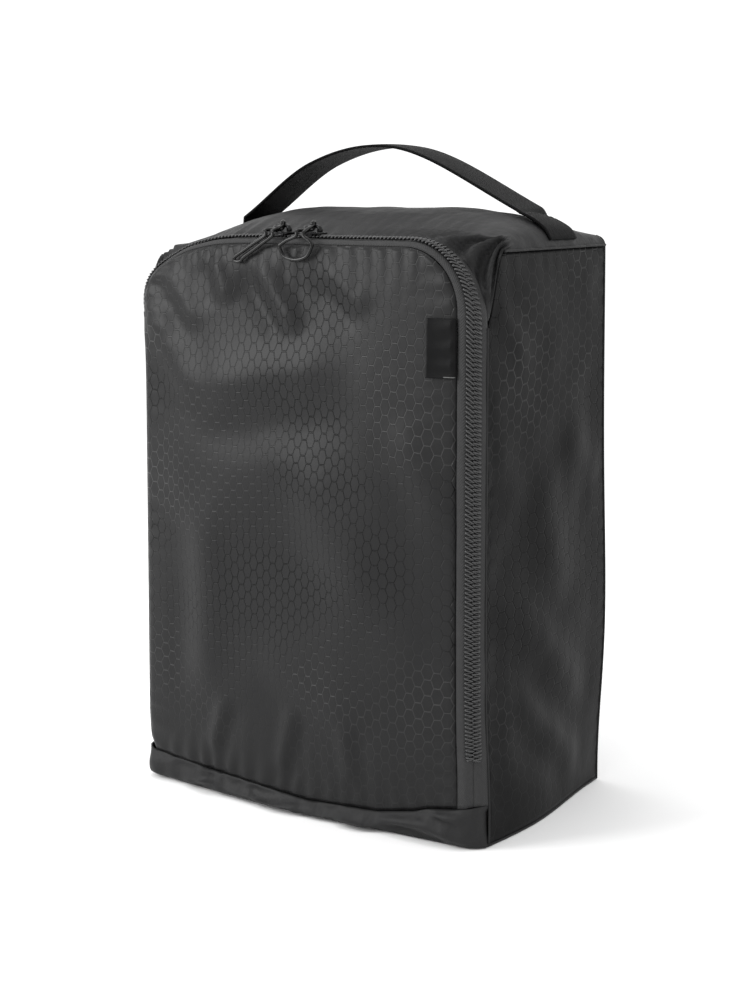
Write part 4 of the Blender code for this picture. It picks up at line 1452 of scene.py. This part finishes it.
def addWelt(name, line, radius, across):
    piece = tubePiece(name, slump(line), radius, plainNylon, sides=8)
    setWeave(piece.data, np.array([(v.co[across], v.co.z) for v in piece.data.vertices]))
    fit(piece, "shell", "plain_fabric")


# Rolled seams: where the sides meet the top and the front, and round the back
def makeWelts():
    q = np.linspace(0.12, 1, 90)
    for name, u, out in (("left", 1.04, -1), ("right", 3.96, 1)):
        line = bodyPoint(np.full_like(q, u), q)
        wander = 0.0003 * roll(line, 0.02, 161)
        line = line + np.array((out, 0, 0.4)) * (0.0004 + wander)[:, None]
        addWelt(f"{name}_top_welt", line, weltLook["top"], 1)
        leg = np.linspace(0, 1, 140)
        front = bodyPoint(leg if out < 0 else 5 - leg, np.zeros_like(leg))
        addWelt(f"{name}_front_welt", front + np.array((0, -0.0002, 0)), weltLook["front"], 1)
    runs = [np.linspace(k, k + 1, 20 if k in (1, 3) else 90)[1:] for k in range(5)]
    u = np.concatenate([[0.0], *runs])
    x, z, out = outline(u, bag["half"], bag["tall"], bag["boxCorner"], 0.002)
    line = np.stack([x, np.full_like(x, bag["back"] + 0.0006), z], -1) - out * 0.0002
    addWelt("back_welt", line, weltLook["back"], 0)


def makeBindings():
    for name in ("left", "right"):
        low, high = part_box(f"{name}_seam_binding")
        z = np.linspace(low.z, high.z, 120)
        turn = np.linspace(0, 2 * math.pi, 17)[:-1]
        thick, wide = (high.y - low.y) / 2, (high.x - low.x) / 2
        middle = (low + high) / 2
        aside = np.sign(np.cos(turn)) * np.abs(np.cos(turn)) ** 0.5 * wide
        deep = np.sign(np.sin(turn)) * np.abs(np.sin(turn)) ** 0.6 * thick
        sway = 0.0004 * np.sin(z * 190)
        points = np.zeros((len(z), len(turn), 3))
        points[..., 0] = middle.x + aside[None, :]
        points[..., 1] = middle.y + deep[None, :] + sway[:, None]
        points[..., 2] = z[:, None]
        sides, last = len(turn), (len(z) - 1) * len(turn)
        faces = gridFaces(len(z), sides, ringed=True)
        faces += [tuple(range(sides))[::-1], tuple(range(last, last + sides))]
        mesh = bpy.data.meshes.new(f"{name}_binding")
        mesh.from_pydata(points.reshape(-1, 3).tolist(), [], faces)
        showSmooth(mesh)
        piece = addPiece(f"{name}_binding", mesh, bindingCloth)
        fit(piece, "shell", "binding_tape", f"{name}_seam_binding")


makeLabel()
makeWelts()
makeBindings()
print("label, welts and bindings on")


stageLook = {
    "azimuth": math.radians(33.97),
    "elevation": math.radians(9.96),
    "distance": 1.194,
    "focal": 65.6,
    "aside": 0.004,
    "aimHeight": 0.1886,
    "floor": 12.0,
    "daylight": 1.18,
    "lampAim": (0, 0, 0.2),
}

# name, place, width and height, power
softboxes = [
    ("window", (-0.64, -0.84, 0.62), (0.45, 0.6), 9.5),
    ("side", (0.9, 0.8, 0.8), (0.3, 0.6), 0.9),
    ("above", (-0.2, 0.0, 1.4), (0.6, 0.4), 3),
]


def makeFloor():
    mesh = bpy.data.meshes.new("studio_floor")
    size, level = stageLook["floor"], -0.0004
    corners = [(x * size, y * size, level) for x, y in ((-1, -1), (1, -1), (1, 1), (-1, 1))]
    mesh.from_pydata(corners, [], [(0, 1, 2, 3)])
    finish, tree, shader = newFinish("paleFloor", (0.9, 0.9, 0.9), 0.9)
    shader.inputs["Specular IOR Level"].default_value = 0.0
    grain = noiseValue(tree, 3.0, 1.0)
    colorBetween(tree, shader, grain, (0.93, 0.93, 0.93), (0.95, 0.95, 0.95))
    floor = addPiece("studio_floor", mesh, finish)


def addSoftbox(name, spot, size, power):
    data = bpy.data.lights.new(name, "AREA")
    data.shape = "RECTANGLE"
    data.size, data.size_y = size
    data.energy = power
    lamp = bpy.data.objects.new(name, data)
    lamp.location = spot
    lamp.rotation_mode = "QUATERNION"
    lamp.rotation_quaternion = (Vector(stageLook["lampAim"]) - Vector(spot)).to_track_quat("-Z", "Y")
    bpy.context.scene.collection.objects.link(lamp)


def makeStudio():
    scene = bpy.context.scene
    world = bpy.data.worlds.new("studio")
    scene.world = world
    world.use_nodes = True
    background = world.node_tree.nodes["Background"]
    background.inputs["Color"].default_value = (1, 1, 1, 1)
    background.inputs["Strength"].default_value = stageLook["daylight"]
    scene.view_settings.view_transform = "Standard"
    for softbox in softboxes:
        addSoftbox(*softbox)


def makeCamera():
    look = stageLook
    a, e = look["azimuth"], look["elevation"]
    back = Vector((math.sin(a) * math.cos(e), -math.cos(a) * math.cos(e), math.sin(e)))
    aim = Vector((look["aside"] * math.cos(a), look["aside"] * math.sin(a), look["aimHeight"]))
    data = bpy.data.cameras.new("studio_camera")
    data.sensor_width = 36
    data.lens = look["focal"]
    data.clip_start = 0.05
    data.clip_end = 60
    camera = bpy.data.objects.new("studio_camera", data)
    camera.location = aim + back * look["distance"]
    camera.rotation_mode = "QUATERNION"
    camera.rotation_quaternion = (-back).to_track_quat("-Z", "Y")
    bpy.context.scene.collection.objects.link(camera)
    bpy.context.scene.camera = camera


makeFloor()
makeStudio()
makeCamera()
